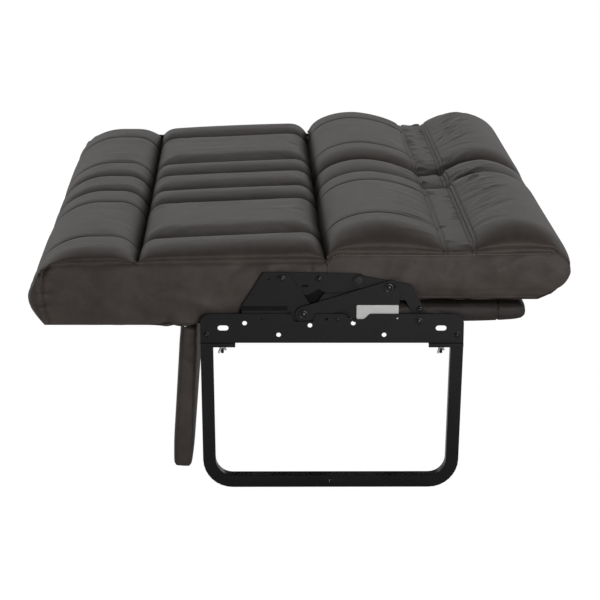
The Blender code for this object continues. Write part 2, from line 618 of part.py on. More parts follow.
def control_link(name, side, parent):
    """Bar from the link pivot to the link pin, with a deep lobe below and a lengthwise slot for the pin."""
    along = (LINK_PIN - LINK_PIVOT).normalized()
    across = Vector((-along.y, along.x))
    far_eye = LINK_PIN + along * SLOT_TRAVEL / 2
    far_radius = PIVOT_EYE + SLOT_TRAVEL / 2
    lobe_low = LINK_PIVOT.y - LINK_BOSS
    tail = LINK_PIN - along * LINK_LOBE - across * LINK_BOSS
    near_end = LINK_PIVOT - along * LINK_BOSS
    far_end = far_eye.x + far_radius
    edge = rounded((*(near_end + across * LINK_BOSS), LINK_BOSS),
                   (*(far_eye + along * far_radius + across * PIVOT_EYE), PIVOT_EYE),
                   (far_end, LINK_PIN.y - PIVOT_EYE, PLATE_CORNER), (far_end, lobe_low, PLATE_CORNER * 2),
                   (tail.x + LINK_BOSS, lobe_low, PLATE_CORNER * 2), (*tail, PLATE_CORNER),
                   (*(near_end - across * LINK_BOSS), LINK_BOSS))
    slot_radius = PIN_RADIUS + CLEAR + SLOT_SLACK
    slot = bar_outline(LINK_PIN, LINK_PIN + along * SLOT_TRAVEL, slot_radius, slot_radius)
    bore = circle(*LINK_PIVOT, PIN_RADIUS + CLEAR)
    add(outlined(name, [edge, slot, bore], *layer(side, LINK_LAYER)), BLACK_STEEL, parent)


def pivot_pins(label, side, back_axis):
    """The four pivots' pins and the pin that the back bracket's tip rests on when the bed is flat."""
    inside = SEAT_LAYER[0]
    over_arm = ARM_LAYER[1] + CLEAR
    add(pin(f"seat_pivot_pin_{label}", side, SEAT_PIVOT,
            [(over_arm + PLATE, HEAD_RADIUS), (over_arm, HEAD_RADIUS), (over_arm, PIN_RADIUS),
             (inside, PIN_RADIUS)]), BLACK_STEEL)
    add(pin(f"fold_pivot_pin_{label}", side, FOLD_PIVOT,
            [(over_arm + HEAD_HEIGHT, HEAD_RADIUS), (over_arm, HEAD_RADIUS), (over_arm, PIN_RADIUS),
             (inside, PIN_RADIUS)]), BLACK_STEEL, back_axis)
    over_link = LINK_LAYER[1] + CLEAR
    shoulder = [(over_link + RAIL_WALL, LINK_HEAD_RADIUS), (over_link, LINK_HEAD_RADIUS),
                (over_link, PIN_RADIUS), (LINK_LAYER[0] - CLEAR, PIN_RADIUS),
                (LINK_LAYER[0] - CLEAR, HEAD_RADIUS), (over_arm, HEAD_RADIUS), (over_arm, PIN_RADIUS),
                (ARM_LAYER[0], PIN_RADIUS)]
    add(pin(f"link_pivot_pin_{label}", side, LINK_PIVOT, shoulder), BLACK_STEEL)
    add(pin(f"link_pin_{label}", side, LINK_PIN, shoulder), BLACK_STEEL, back_axis)
    outside = RAIL_LAYER[1] + CLEAR
    add(pin(f"bed_stop_pin_{label}", side, Vector((STOP_PIN_Y, RAIL_Z + STOP_PIN_RISE)),
            [(outside + HEAD_HEIGHT, HEAD_RADIUS), (outside, HEAD_RADIUS), (outside, STOP_PIN_RADIUS),
             (ARM_LAYER[0], STOP_PIN_RADIUS)]), BLACK_STEEL)


def bolt(name, side, place, under_head, tip, parent):
    profile = [(under_head + BOLT_HEAD_HEIGHT, BOLT_HEAD_TOP), (under_head, BOLT_HEAD_RADIUS),
               (under_head, BOLT_RADIUS), (tip, BOLT_RADIUS)]
    add(pin(name, side, place, profile), BLACK_STEEL, parent)


# Upholstery

def roll(distance, reach, drop, fullness):
    """Height lost near a pad's edge: all of drop at the edge, none beyond reach."""
    inward = min(max(1 - distance / reach, 0), 1)
    return drop * (1 - (1 - inward ** fullness) ** (1 / fullness))


def pinch(x, depths):
    """Height lost in the sewn lines that run from front to rear, from (half-width, depth) pairs."""
    return sum(depth * max(1 - abs(abs(x) - line) / SEAM_REACH, 0) ** 2 for line, depth in depths)


def spaced(places):
    """Sorted places, leaving out those too close to the one before, except the last."""
    kept = []
    for place in sorted(places):
        if not kept or place - kept[-1] > STATION_GAP:
            kept.append(place)
    kept[-1] = max(places)
    return kept


def width_stations():
    half = [HALF_WIDTH, HALF_WIDTH - END_EDGE, HALF_WIDTH - END_REACH / 2]
    for line in (SEAM_OUTER, SEAM_MIDDLE, SEAM_CENTRE):
        half += [line - SEAM_REACH, line, line + SEAM_REACH]
    half.append((SEAM_OUTER + SEAM_MIDDLE) / 2)
    return spaced([side * x for x in half for side in (1, -1)] + [0])


def cushion(name, lengths, levels, shape, parent):
    """Closed pad: a block cut at stations across, along and up, each point then moved by shape."""
    stations = (width_stations(), spaced(lengths), levels)
    bm = bmesh.new()
    bmesh.ops.create_cube(bm, size=1)
    low, high = (Vector(s[end] for s in stations) for end in (0, -1))
    bmesh.ops.scale(bm, vec=high - low, verts=bm.verts)
    bmesh.ops.translate(bm, vec=(low + high) / 2, verts=bm.verts)
    for axis, places in enumerate(stations):
        normal = [0, 0, 0]
        normal[axis] = 1
        for place in places[1:-1]:
            point = Vector(normal) * place
            everything = bm.verts[:] + bm.edges[:] + bm.faces[:]
            bmesh.ops.bisect_plane(bm, geom=everything, dist=MERGE, plane_co=point, plane_no=normal)
    underside = [face for face in bm.faces if face.normal.z < -0.5]
    bmesh.ops.dissolve_faces(bm, faces=underside, use_verts=True)
    for vert in bm.verts:
        vert.co = shape(*vert.co)
    piece = add(finished_mesh(bm, name), LEATHERETTE, parent)
    piece.data.shade_smooth()
    return piece


def drawn_in(x, level):
    """A point's X where an end panel swells at mid height and is drawn in at its seams."""
    if abs(abs(x) - HALF_WIDTH) > MERGE:
        return x
    return x - END_TUCK * (2 * level - 1) ** 2 * (1 if x > 0 else -1)


def seat_top(x, y):
    """Height of the seat's upper face over its underside."""
    from_front = y - SEAT_FRONT_Y
    from_rear = SEAT_REAR_Y - y
    end = HALF_WIDTH - abs(x)
    if from_front <= BOLSTER_DEPTH:
        height = BOLSTER_CREST - pinch(x, ((SEAM_OUTER, SEAM_THIN), (SEAM_MIDDLE, SEAM_THIN),
                                           (SEAM_CENTRE, SEAM_DEEP / 2)))
        height -= roll(from_front, BOLSTER_FRONT_REACH, BOLSTER_CREST - SEAT_FRONT_HEIGHT, SOFT)
        height -= roll(BOLSTER_DEPTH - from_front, BOLSTER_REAR_REACH, CHANNEL_DEPTH, SOFT)
    else:
        share = (from_front - BOLSTER_DEPTH) / (SEAT_DEPTH - BOLSTER_DEPTH)
        height = PAD_CREST_FRONT + (PAD_CREST_REAR - PAD_CREST_FRONT) * share
        height -= pinch(x, ((SEAM_OUTER, SEAM_DEEP), (SEAM_MIDDLE, SEAM_DEEP), (SEAM_CENTRE, SEAM_DEEP)))
        height -= roll(from_front - BOLSTER_DEPTH, PAD_FRONT_REACH, CHANNEL_DEPTH, SOFT)
        height -= roll(from_rear, SEAT_REAR_REACH, SEAT_REAR_DROP, ROUND)
    fall = max(height - SEAT_END_SEAM, 0)
    return height - roll(end, END_REACH, fall, SOFT)


def tucked(distance, tuck, level):
    """How far a point moves in from a pad's front or rear: tuck at the edge's foot, less above and inside."""
    return tuck * (1 - level) ** 2 * max(1 - distance / (3 * tuck), 0)


def cove(x):
    """Depth of the hollow in the seat's rear face."""
    free = HALF_WIDTH - SEAT_WALL - BOARD_THICK - abs(x)
    return SEAT_COVE * min(max(free / SEAT_COVE_EASE, 0), 1)


def seat_shape(x, y, level):
    height = seat_top(x, y) * level
    moved = y + tucked(y - SEAT_FRONT_Y, SEAT_FRONT_TUCK, level)
    moved -= cove(x) * max(1 - (SEAT_REAR_Y - y) / (3 * SEAT_COVE), 0)
    return Vector((drawn_in(x, level), moved, SEAT_Z + height))


def back_top(x, y):
    """Height of the back's upper face over its underside."""
    from_front = y - BACK_FRONT_Y
    from_rear = BACK_REAR_Y - y
    band_end = BAND_START + BAND_WIDTH
    end = HALF_WIDTH - abs(x)
    if from_front < BAND_START:
        seams = ((SEAM_OUTER, SEAM_THIN), (SEAM_MIDDLE, SEAM_THIN), (SEAM_CENTRE, SEAM_DEEP))
        dip = roll(BAND_START - from_front, BAND_REACH, BAND_DEPTH, SOFT)
    elif from_front <= band_end:
        seams = ((SEAM_CENTRE, SEAM_THIN),)
        dip = BAND_DEPTH
    else:
        seams = ((SEAM_CENTRE, SEAM_DEEP),)
        dip = roll(from_front - band_end, BAND_REACH, BAND_DEPTH, SOFT)
    height = BACK_CREST - dip - pinch(x, seams)
    height -= roll(from_front, BACK_FRONT_REACH, BACK_FRONT_DROP, SLOPED)
    height -= roll(from_rear, BACK_REAR_REACH, BACK_REAR_DROP, ROUND)
    fall = max(height - BACK_END_SEAM, 0)
    return height - roll(end, END_REACH, fall, SOFT)


def back_shape(x, y, level):
    """Point of the back; its front keeps within the circle that clears the seat when the back folds up."""
    height = back_top(x, y) * level
    moved = y + tucked(y - BACK_FRONT_Y, BACK_FRONT_TUCK, level)
    moved -= tucked(BACK_REAR_Y - y, BACK_REAR_TUCK, level)
    arm = Vector((moved, BACK_Z + height)) - FOLD_PIVOT
    reach = FOLD_PIVOT.x - SEAT_REAR_Y + cove(x) - CUSHION_GAP / 2
    if arm.x < 0 and arm.length > reach:
        arm *= reach / arm.length
    return Vector((drawn_in(x, level), *(FOLD_PIVOT + arm)))


def zigzag_spring(name, x, start, end, z, parent):
    """Flat zigzag of spring wire between two rails."""
    curve = bpy.data.curves.new(name, "CURVE")
    curve.dimensions = "3D"
    curve.bevel_depth = SPRING_WIRE
    curve.bevel_resolution = 1
    curve.use_fill_caps = True
    corners = [(x, start), (x, start + SPRING_LEAD)]
    pitch = (end - start - 2 * SPRING_LEAD) / (SPRING_BENDS + 1)
    for bend in range(SPRING_BENDS):
        way = 1 if bend % 2 else -1
        middle = start + SPRING_LEAD + pitch * (bend + 1)
        for reach, offset in ((0.7, -0.5), (1.0, 0.0), (0.7, 0.5)):
            corners.append((x + way * reach * SPRING_WIDTH / 2, middle + offset * pitch * 0.7))
    corners += [(x, end - SPRING_LEAD), (x, end)]
    spline = curve.splines.new("POLY")
    spline.points.add(len(corners) - 1)
    for point, (px, py) in zip(spline.points, corners):
        point.co = (px, py, z, 1)
    add(bpy.data.objects.new(name, curve), SPRING_STEEL, parent)


def seat_unit(seat_axis):
    """Seat cushion on its timber frame, springs and dust cover, which fill a hollow in its underside."""
    bolster_end = SEAT_FRONT_Y + BOLSTER_DEPTH
    roll_in, roll_out = BOLSTER_REAR_REACH, PAD_FRONT_REACH
    lengths = [SEAT_FRONT_Y + BOLSTER_DEPTH * share for share in (0, 0.06, 0.16, 0.3, 0.5)]
    lengths += [bolster_end + offset for offset in (-roll_in, -roll_in / 3, 0, roll_out / 3, roll_out)]
    lengths += [(bolster_end + SEAT_REAR_Y) / 2]
    lengths += [SEAT_REAR_Y - SEAT_REAR_REACH * share for share in (1, 0.5, 0.2, 0)]
    pad = cushion("seat_cushion", lengths, (0, 0.35, 0.7, 1), seat_shape, seat_axis)

    inner_x = HALF_WIDTH - SEAT_WALL
    front, rear = SEAT_FRONT_Y + SEAT_WALL + SEAT_FRONT_TUCK, SEAT_REAR_Y - SEAT_WALL
    end_rear = SEAT_REAR_Y - END_RAIL_COVER
    floor = SEAT_Z + COVER_THICK + 2 * CLEAR
    top = floor + SEAT_RAIL_HEIGHT
    end_top = floor + SEAT_END_RAIL_HEIGHT
    under = SEAT_Z - SEAT_RISE / 2
    hollow = tool(box("seat_hollow", (-inner_x, front, under), (inner_x, rear, top + CLEAR)))
    combine(pad, "DIFFERENCE", hollow)

    wood, c = BOARD_THICK, CLEAR
    for name, y in (("front", front + c), ("rear", rear - c - wood)):
        add(box(f"seat_rail_{name}", (-inner_x + wood + 2 * c, y, floor),
                (inner_x - wood - 2 * c, y + wood, top)), TIMBER, seat_axis)
    add(box("seat_rail_centre", (-wood / 2, front + wood + 2 * c, floor),
            (wood / 2, rear - wood - 2 * c, top)), TIMBER, seat_axis)
    for label, side in SIDES:
        place = Vector((SEAT_BOLT_Y, RAIL_Z + SEAT_BOLT_RISE))
        x0, x1 = layer(side, (inner_x - wood - c, inner_x))
        pocket = tool(box(f"seat_end_pocket_{label}", (x0, front, under), (x1, end_rear, end_top + c)))
        passage = hole_tool(f"seat_bolt_passage_{label}", side, place, inner_x - wood - 2 * c,
                            HALF_WIDTH + PLATE, BOLT_RADIUS + c)
        combine(pad, "DIFFERENCE", pocket, passage)
        x0, x1 = layer(side, (inner_x - wood, inner_x - c))
        rail = add(box(f"seat_rail_{label}", (x0, front + c, floor), (x1, end_rear - c, end_top)),
                   TIMBER, seat_axis)
        combine(rail, "DIFFERENCE", passage)
        bolt(f"seat_bolt_{label}", side, place, SEAT_LAYER[1] + c, inner_x - wood, seat_axis)
        seat_bracket(f"seat_bracket_{label}", side, seat_axis)
    add(box("seat_dust_cover", (-inner_x + c, front + c, SEAT_Z + c),
            (inner_x - c, rear - c, SEAT_Z + c + COVER_THICK)), DUST_CLOTH, seat_axis)
    for number, x in enumerate((-SEAT_SPRING_PITCH, SEAT_SPRING_PITCH), 1):
        zigzag_spring(f"seat_spring_{number}", x, front + wood + 2 * c, rear - wood - 2 * c,
                      top - SPRING_WIRE - c, seat_axis)


def back_unit(back_axis):
    """Back cushion on its timber frame and springs, over the upholstered back board."""
    band = BACK_FRONT_Y + BAND_START
    lengths = [BACK_FRONT_Y + BACK_FRONT_REACH * share for share in (0, 0.12, 0.3, 0.55, 0.85)]
    lengths += [band - BAND_REACH * 0.6, band - BAND_REACH * 0.2, band, band + BAND_WIDTH,
                band + BAND_WIDTH + BAND_REACH * 0.2, band + BAND_WIDTH + BAND_REACH * 0.6]
    lengths += [BACK_REAR_Y - BACK_REAR_REACH * share for share in (0.8, 0.45, 0.2, 0.06, 0)]
    pad = cushion("back_cushion", lengths, (0, 0.3, 0.65, 1), back_shape, back_axis)

    inner_x = HALF_WIDTH - BACK_WALL
    board_top = BACK_Z - PANEL_GAP
    start = BACK_FRONT_Y + PANEL_START
    end = start + PANEL_LENGTH
    floor = board_top + CLEAR
    top = floor + BACK_RAIL_HEIGHT
    wood, c = BOARD_THICK, CLEAR
    front, rear = start + BACK_WALL / 2, end - BACK_WALL / 2
    combine(pad, "DIFFERENCE", tool(box("back_hollow", (-inner_x, front, board_top - PANEL_GAP),
                                        (inner_x, rear, top + c))))
    for name, y in (("lower", front + c), ("upper", rear - c - wood)):
        add(box(f"back_rail_{name}", (-inner_x + c, y, floor), (inner_x - c, y + wood, top)),
            TIMBER, back_axis)
    rail_start, rail_end = front + wood + 2 * c, rear - wood - 2 * c
    for number, x in enumerate((-BACK_SPRING_PITCH / 2, BACK_SPRING_PITCH / 2), 1):
        zigzag_spring(f"back_spring_{number}", x, rail_start, rail_end, top - SPRING_WIRE - c, back_axis)

    reach = ARM_LAYER[0] - c
    low = board_top - PANEL_THICK
    edge = rounded((start, low, PANEL_EDGE), (end, low, PANEL_NOSE), (end, board_top, PANEL_NOSE),
                   (start, board_top, PANEL_EDGE))
    board = add(outlined("back_board", [edge], -reach, reach), LEATHERETTE, back_axis)
    board.data.shade_smooth()
    board.data.set_sharp_from_angle(angle=radians(40))
    place = Vector((BACK_BOLT_Y, RAIL_Z + BACK_BOLT_RISE))
    for label, side in SIDES:
        x0, x1 = layer(side, (inner_x - wood - c, inner_x - c))
        add(box(f"back_rail_{label}", (x0, rail_start, floor), (x1, rail_end, top)), TIMBER, back_axis)
        tip = reach - BACK_BOLT_LENGTH
        combine(board, "DIFFERENCE", hole_tool(f"back_bolt_passage_{label}", side, place, tip - c,
                                               reach + PLATE, BOLT_RADIUS + c))
        bolt(f"back_bolt_{label}", side, place, ARM_LAYER[1] + c, tip, back_axis)
        back_bracket(f"back_bracket_{label}", side, back_axis)


def front_panel(seat_axis):
    """Upholstered board hung under the seat on a strip hinge, leaning forward at its foot."""
    axis_z = SEAT_Z - HINGE_DROP
    half = FRONT_PANEL_WIDTH / 2
    face, depth = -FRONT_PANEL_AXIS, FRONT_PANEL_THICK - FRONT_PANEL_AXIS
    top = -HINGE_ROD - CLEAR
    corner = FRONT_PANEL_CORNER
    upright = rounded((face, top, corner), (face, top - FRONT_PANEL_HEIGHT, corner),
                      (depth, top - FRONT_PANEL_HEIGHT, corner), (depth, top, corner))
    lean = Matrix.Rotation(-FRONT_PANEL_LEAN, 2)
    edge = [Vector((HINGE_Y, axis_z)) + lean @ point for point in upright]
    swing = axis_empty("front_panel_axis", HINGE_Y, axis_z, seat_axis)
    panel = add(outlined("front_panel", [edge], -half, half), LEATHERETTE, swing)
    panel.data.shade_smooth()
    panel.data.set_sharp_from_angle(angle=radians(40))

    leaf_top = SEAT_Z - CLEAR
    web = HINGE_PLATE / 2
    leaf = add(box("front_panel_hinge", (-half, HINGE_Y - web, leaf_top - HINGE_PLATE),
                   (half, HINGE_Y + HINGE_LEAF, leaf_top)), ZINC, seat_axis)
    drop = tool(box("hinge_web", (-half, HINGE_Y - web, axis_z), (half, HINGE_Y + web, leaf_top)))
    rod = tool(outlined("hinge_rod", [circle(HINGE_Y, axis_z, HINGE_ROD, 10)], -half, half))
    combine(leaf, "UNION", drop, rod)


def base():
    for label, side in SIDES:
        leg_frame(f"leg_frame_{label}", side)
        base_rail(f"base_rail_{label}", side)
        for end, end_y, inward in rail_ends():
            leg_tab(f"leg_tab_{end}_{label}", side, end_y, inward)
            wing_nut(f"wing_nut_{end}_{label}", side, end_y, inward)
        support_bracket(f"support_bracket_{label}", side)
    (_, front, _), (_, rear, _) = rail_ends()
    cross_rail("cross_rail_front", front + CROSS_INSET_FRONT)
    cross_rail("cross_rail_rear", rear - CROSS_INSET_REAR)


base()
seat_joint = axis_empty("seat_axis", *SEAT_PIVOT)
fold_joint = axis_empty("fold_axis", *FOLD_PIVOT, seat_joint)
seat_unit(seat_joint)
back_unit(fold_joint)
front_panel(seat_joint)
for side_label, side_sign in SIDES:
    link_joint = axis_empty(f"link_axis_{side_label}", *LINK_PIVOT)
    control_link(f"control_link_{side_label}", side_sign, link_joint)
    pivot_pins(side_label, side_sign, fold_joint)
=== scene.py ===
"""Jackknife sofa laid flat as a bed: upholstery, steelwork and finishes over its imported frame."""
from math import pi, radians

import bmesh
import bpy
import numpy as np
from mathutils import Euler, Matrix, Vector
from mathutils.bvhtree import BVHTree


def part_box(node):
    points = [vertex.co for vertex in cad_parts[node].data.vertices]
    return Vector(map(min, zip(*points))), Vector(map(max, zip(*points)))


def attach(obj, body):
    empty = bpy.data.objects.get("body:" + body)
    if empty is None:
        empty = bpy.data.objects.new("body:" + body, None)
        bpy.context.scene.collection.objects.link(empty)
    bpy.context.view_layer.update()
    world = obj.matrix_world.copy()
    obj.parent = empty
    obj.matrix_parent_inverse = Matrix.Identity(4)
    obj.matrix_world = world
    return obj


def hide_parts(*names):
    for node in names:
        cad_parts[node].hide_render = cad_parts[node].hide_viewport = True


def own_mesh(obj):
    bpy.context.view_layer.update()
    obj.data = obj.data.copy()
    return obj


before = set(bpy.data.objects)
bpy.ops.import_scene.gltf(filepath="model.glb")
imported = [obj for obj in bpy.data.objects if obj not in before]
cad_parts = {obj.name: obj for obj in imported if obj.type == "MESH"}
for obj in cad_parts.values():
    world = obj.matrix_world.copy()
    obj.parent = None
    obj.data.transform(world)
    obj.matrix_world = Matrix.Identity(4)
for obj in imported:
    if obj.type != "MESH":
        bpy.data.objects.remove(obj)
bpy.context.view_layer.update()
scene = bpy.context.scene
scene.view_settings.view_transform = "Standard"

# Camera: a long lens at the sofa's right end, a little above it, as the photograph was taken.
# The picture leans a third of a degree, so the camera is rolled by as much.
CAMERA_PLACE = (5.066, -0.110, 1.507)
CAMERA_TILT, CAMERA_TURN, CAMERA_ROLL = radians(75.59), radians(88.57), radians(0.38)
camera = bpy.data.objects.new("camera", bpy.data.cameras.new("camera"))
camera.data.sensor_width, camera.data.lens = 36.0, 135.0
camera.data.clip_end = 50.0
camera.matrix_world = (
    Matrix.Translation(CAMERA_PLACE)
    @ Euler((CAMERA_TILT, 0.0, CAMERA_TURN)).to_matrix().to_4x4()
    @ Matrix.Rotation(CAMERA_ROLL, 4, "Z")
)
scene.collection.objects.link(camera)
scene.camera = camera


# Studio: a white backdrop behind the sofa, a dim room in front, an overhead softbox and three fills.
# The floor is a pale painted sheet, lit to white for the camera.
class Value:
    """A shader socket. Arithmetic on it adds Math nodes, and node() adds any other kind."""

    def __init__(self, socket):
        self.socket = socket

    def node(self, kind, settings, inputs, output=0):
        """Adds a node: its settings first, then the values or links of its sockets."""
        tree = self.socket.id_data
        new = tree.nodes.new("ShaderNode" + kind)
        for name, setting in settings.items():
            setattr(new, name, setting)
        for name, value in inputs.items():
            if isinstance(value, Value):
                tree.links.new(value.socket, new.inputs[name])
            else:
                new.inputs[name].default_value = value
        return Value(new.outputs[output])

    def math(self, operation, *others):
        return self.node("Math", {"operation": operation}, dict(enumerate((self, *others))))

    def __add__(self, other):
        return self.math("ADD", other)

    def __mul__(self, other):
        return self.math("MULTIPLY", other)

    def __sub__(self, other):
        return self.math("SUBTRACT", other)

    def __rsub__(self, other):
        return self.node("Math", {"operation": "SUBTRACT"}, {0: other, 1: self})

    __radd__ = __add__
    __rmul__ = __mul__


def spread(value, low, high, least=0.0, most=1.0):
    """A value's run from low to high, spread from least to most and held there beyond it."""
    return value.node("MapRange", {"clamp": True}, {0: value, 1: low, 2: high, 3: least, 4: most})


def noise(place, scale, detail, output=0, **more):
    return place.node("TexNoise", {}, {"Vector": place, "Scale": scale, "Detail": detail, **more}, output)


def bump(height, strength, distance, **more):
    return height.node("Bump", {}, {"Strength": strength, "Distance": distance, "Height": height, **more})


GLOSS_SHARE = 0.15


def seen_by_eye(tree):
    """1 for what the camera sees straight or through glass, a share of it in gloss, and 0 for the rest."""
    ray = tree.nodes.new("ShaderNodeLightPath").outputs
    straight = Value(ray["Is Camera Ray"]) + Value(ray["Is Transmission Ray"])
    return straight + Value(ray["Is Glossy Ray"]) * GLOSS_SHARE


ROOM_LIGHT, BACKDROP_LIGHT = 0.04, 0.92
WHITE = (1.0, 1.0, 1.0, 1.0)
surround = bpy.data.worlds.new("white_surround")
surround.use_nodes = True
scene.world = surround
background = surround.node_tree.nodes["Background"]
background.inputs["Color"].default_value = WHITE
heading = Value(surround.node_tree.nodes.new("ShaderNodeTexCoord").outputs["Generated"])
along_sofa = heading.node("SeparateXYZ", {}, {0: heading})
backdrop = spread(along_sofa, low=-0.05, high=-0.85, least=ROOM_LIGHT, most=BACKDROP_LIGHT)
shown = backdrop.math("MAXIMUM", seen_by_eye(surround.node_tree))
surround.node_tree.links.new(shown.socket, background.inputs["Strength"])

LAMPS = (  # name, place, aim, width, length, watts
    ("softbox", (-1.5, -0.2, 2.5), (0.0, 0.0, 0.45), 2.0, 1.7, 7.0),
    ("end_fill", (3.5, 1.1, 0.95), (0.7, 0.0, 0.38), 1.5, 0.9, 60.0),
    ("front_fill", (0.0, -3.4, 1.2), (0.0, 0.0, 0.35), 2.2, 1.0, 26.0),
    ("rear_fill", (0.0, 3.4, 1.2), (0.0, 0.0, 0.40), 2.2, 1.0, 20.0),
)
for lamp_name, lamp_place, aim, width, length, watts in LAMPS:
    lamp = bpy.data.objects.new(lamp_name, bpy.data.lights.new(lamp_name, "AREA"))
    lamp.data.shape, lamp.data.energy = "RECTANGLE", watts
    lamp.data.size, lamp.data.size_y = width, length
    lamp.location = lamp_place
    lamp.rotation_euler = (Vector(aim) - Vector(lamp_place)).to_track_quat("-Z", "Y").to_euler()
    scene.collection.objects.link(lamp)


def piece_from(bm, name, material):
    """Turns a finished bmesh into an object with its finish."""
    mesh = bpy.data.meshes.new(name)
    bm.to_mesh(mesh)
    bm.free()
    mesh.materials.append(material)
    piece = bpy.data.objects.new(name, mesh)
    scene.collection.objects.link(piece)
    return piece


FLOOR_GLOW, FLOOR_VEIL = 1.06, 0.93
sweep = bpy.data.materials.new("pale_sweep")
sweep.use_nodes = True
sheet = sweep.node_tree.nodes["Principled BSDF"]
sheet.inputs["Roughness"].default_value = 0.9
sheet.inputs["Specular IOR Level"].default_value = 0.1
sheet.inputs["Base Color"].default_value = (0.93, 0.93, 0.93, 1.0)
place = Value(sweep.node_tree.nodes.new("ShaderNodeTexCoord").outputs["Object"])
paint = bump(noise(place, scale=900.0, detail=2.0), strength=0.05, distance=0.0003)
sweep.node_tree.links.new(paint.socket, sheet.inputs["Normal"])
glow = place.node("Emission", {}, {"Color": WHITE, "Strength": FLOOR_GLOW})
veil = seen_by_eye(sweep.node_tree) * FLOOR_VEIL
shown = place.node("MixShader", {}, {0: veil, 1: Value(sheet.outputs["BSDF"]), 2: glow})
sweep.node_tree.links.new(shown.socket, sweep.node_tree.nodes["Material Output"].inputs["Surface"])
bm = bmesh.new()
bmesh.ops.create_grid(bm, x_segments=2, y_segments=2, size=12.0)
studio_floor = piece_from(bm, "studio_floor", sweep)


# Base: two square-tube leg frames, punched angle rails and two cross tubes, all of powder-coated steel.
# The legs hang from folded tabs on the rails' studs, and the cross tubes lie on the rails' flanges.
def finish(name, **constants):
    """A finish with its constant sockets set: the material, its shader and the place it reads."""
    material = bpy.data.materials.new(name)
    material.use_nodes = True
    shader = material.node_tree.nodes["Principled BSDF"]
    for socket, value in constants.items():
        shader.inputs[socket.replace("_", " ")].default_value = value
    place = Value(material.node_tree.nodes.new("ShaderNodeTexCoord").outputs["Object"])
    return material, shader, place


def feed(shader, **links):
    """Links the varying sockets of a shader."""
    for socket, value in links.items():
        shader.id_data.links.new(value.socket, shader.inputs[socket.replace("_", " ")])


def between(amount, first, second):
    """Colour between two colours."""
    settings = {"data_type": "RGBA", "clamp_factor": True}
    return amount.node("Mix", settings, {0: amount, 6: (*first, 1.0), 7: (*second, 1.0)}, 2)


powder_coat, shader, place = finish("powder_coat", Specular_IOR_Level=0.14)
peel = noise(place, scale=620.0, detail=2.0, Roughness=0.6)
cloud = noise(place, scale=14.0, detail=4.0, Roughness=0.6)
rubbed = {"Vector": place, "Rotation": (0.0, 0.5, 0.3), "Scale": (60.0, 9.0, 70.0)}
scuff = noise(place.node("Mapping", {}, rubbed), scale=3.0, detail=5.0, Roughness=0.7)
scuff = spread(scuff, low=0.62, high=0.80)
feed(
    shader,
    Base_Color=between(scuff * 0.5 + cloud * 0.25, (0.0068, 0.0068, 0.0070), (0.0200, 0.0195, 0.0190)),
    Roughness=cloud * 0.16 + peel * 0.10 + scuff * 0.08 + 0.27,
    Normal=bump(peel, strength=0.22, distance=0.0002),
)
tube_coat, shader, place = finish("tube_coat", Specular_IOR_Level=0.20)
streak = noise(place, scale=9.0, detail=5.0, Roughness=0.65)
feed(
    shader,
    Base_Color=between(streak, (0.0022, 0.0022, 0.0024), (0.0085, 0.0085, 0.0090)),
    Roughness=streak * 0.28 + 0.04,
)


def shade(mesh, sharp):
    """Smooth shading, with a hard edge wherever two faces turn by more than an angle."""
    mesh.shade_smooth()
    mesh.set_sharp_from_angle(angle=sharp)


EDGE_BREAK, CORNER_TURN, SHADED_TURN = 0.0007, radians(40), radians(32)


def coated(node, body, edge=EDGE_BREAK, coat=powder_coat):
    """Copy of a steel piece in its coat, with its sharp edges broken."""
    bm = bmesh.new()
    bm.from_mesh(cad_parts[node].data)
    bmesh.ops.remove_doubles(bm, verts=bm.verts, dist=0.00002)
    corners = [e for e in bm.edges if e.is_manifold and e.calc_face_angle() > CORNER_TURN]
    bmesh.ops.bevel(bm, geom=corners, offset=edge, offset_type="OFFSET", affect="EDGES", segments=1,
                    profile=0.5, material=-1, clamp_overlap=True)
    piece = piece_from(bm, node + "_coated", coat)
    for attribute in [a for a in piece.data.attributes if a.name == "custom_normal"]:
        piece.data.attributes.remove(attribute)
    shade(piece.data, sharp=SHADED_TURN)
    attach(piece, body)
    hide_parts(node)
    return piece


for side in ("right", "left"):
    for node in ("base_rail_", "leg_tab_front_", "leg_tab_rear_"):
        coated(node + side, "base")
    coated("leg_frame_" + side, "base", coat=tube_coat)
for node in ("cross_rail_front", "cross_rail_rear"):
    coated(node, "base")


# Wing nuts: zinc-plated pressed nuts on the rails' studs, one at each leg, that clamp the leg tabs.
# The plating is bright with a faint crystal pattern and patchy bloom.
def ramp(value, start, stop):
    """0 at the start of a span and before it, rising evenly to 1 at its stop."""
    return np.clip((value - start) / (stop - start), 0, 1)


zinc_plate, shader, place = finish("zinc_plate", Metallic=0.45)
crystal = place.node("TexVoronoi", {"feature": "F1"}, {"Vector": place, "Scale": 520.0})
bloom = noise(place, scale=160.0, detail=3.0)
feed(
    shader,
    Base_Color=between(bloom, (0.46, 0.46, 0.45), (0.72, 0.71, 0.68)),
    Roughness=crystal * 0.18 + bloom * 0.22 + 0.14,
)
WING_ROOT, WING_TIP, WING_DROP = 0.0045, 0.0140, 0.0075
NUT_TURN = radians(58)
for side, turn in (("right", NUT_TURN), ("left", -NUT_TURN)):
    for end in ("front", "rear"):
        node = f"wing_nut_{end}_{side}"
        low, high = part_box(node)
        stud = (low + high) / 2
        wing_nut = coated(node, "base", edge=0.0004, coat=zinc_plate)
        bm = bmesh.new()
        bm.from_mesh(wing_nut.data)
        for vert in bm.verts:
            vert.co.z -= WING_DROP * ramp(abs(vert.co.y - stud.y), WING_ROOT, WING_TIP)
        bmesh.ops.rotate(bm, verts=bm.verts, cent=stud, matrix=Matrix.Rotation(turn, 3, "Z"))
        bm.to_mesh(wing_nut.data)
        bm.free()

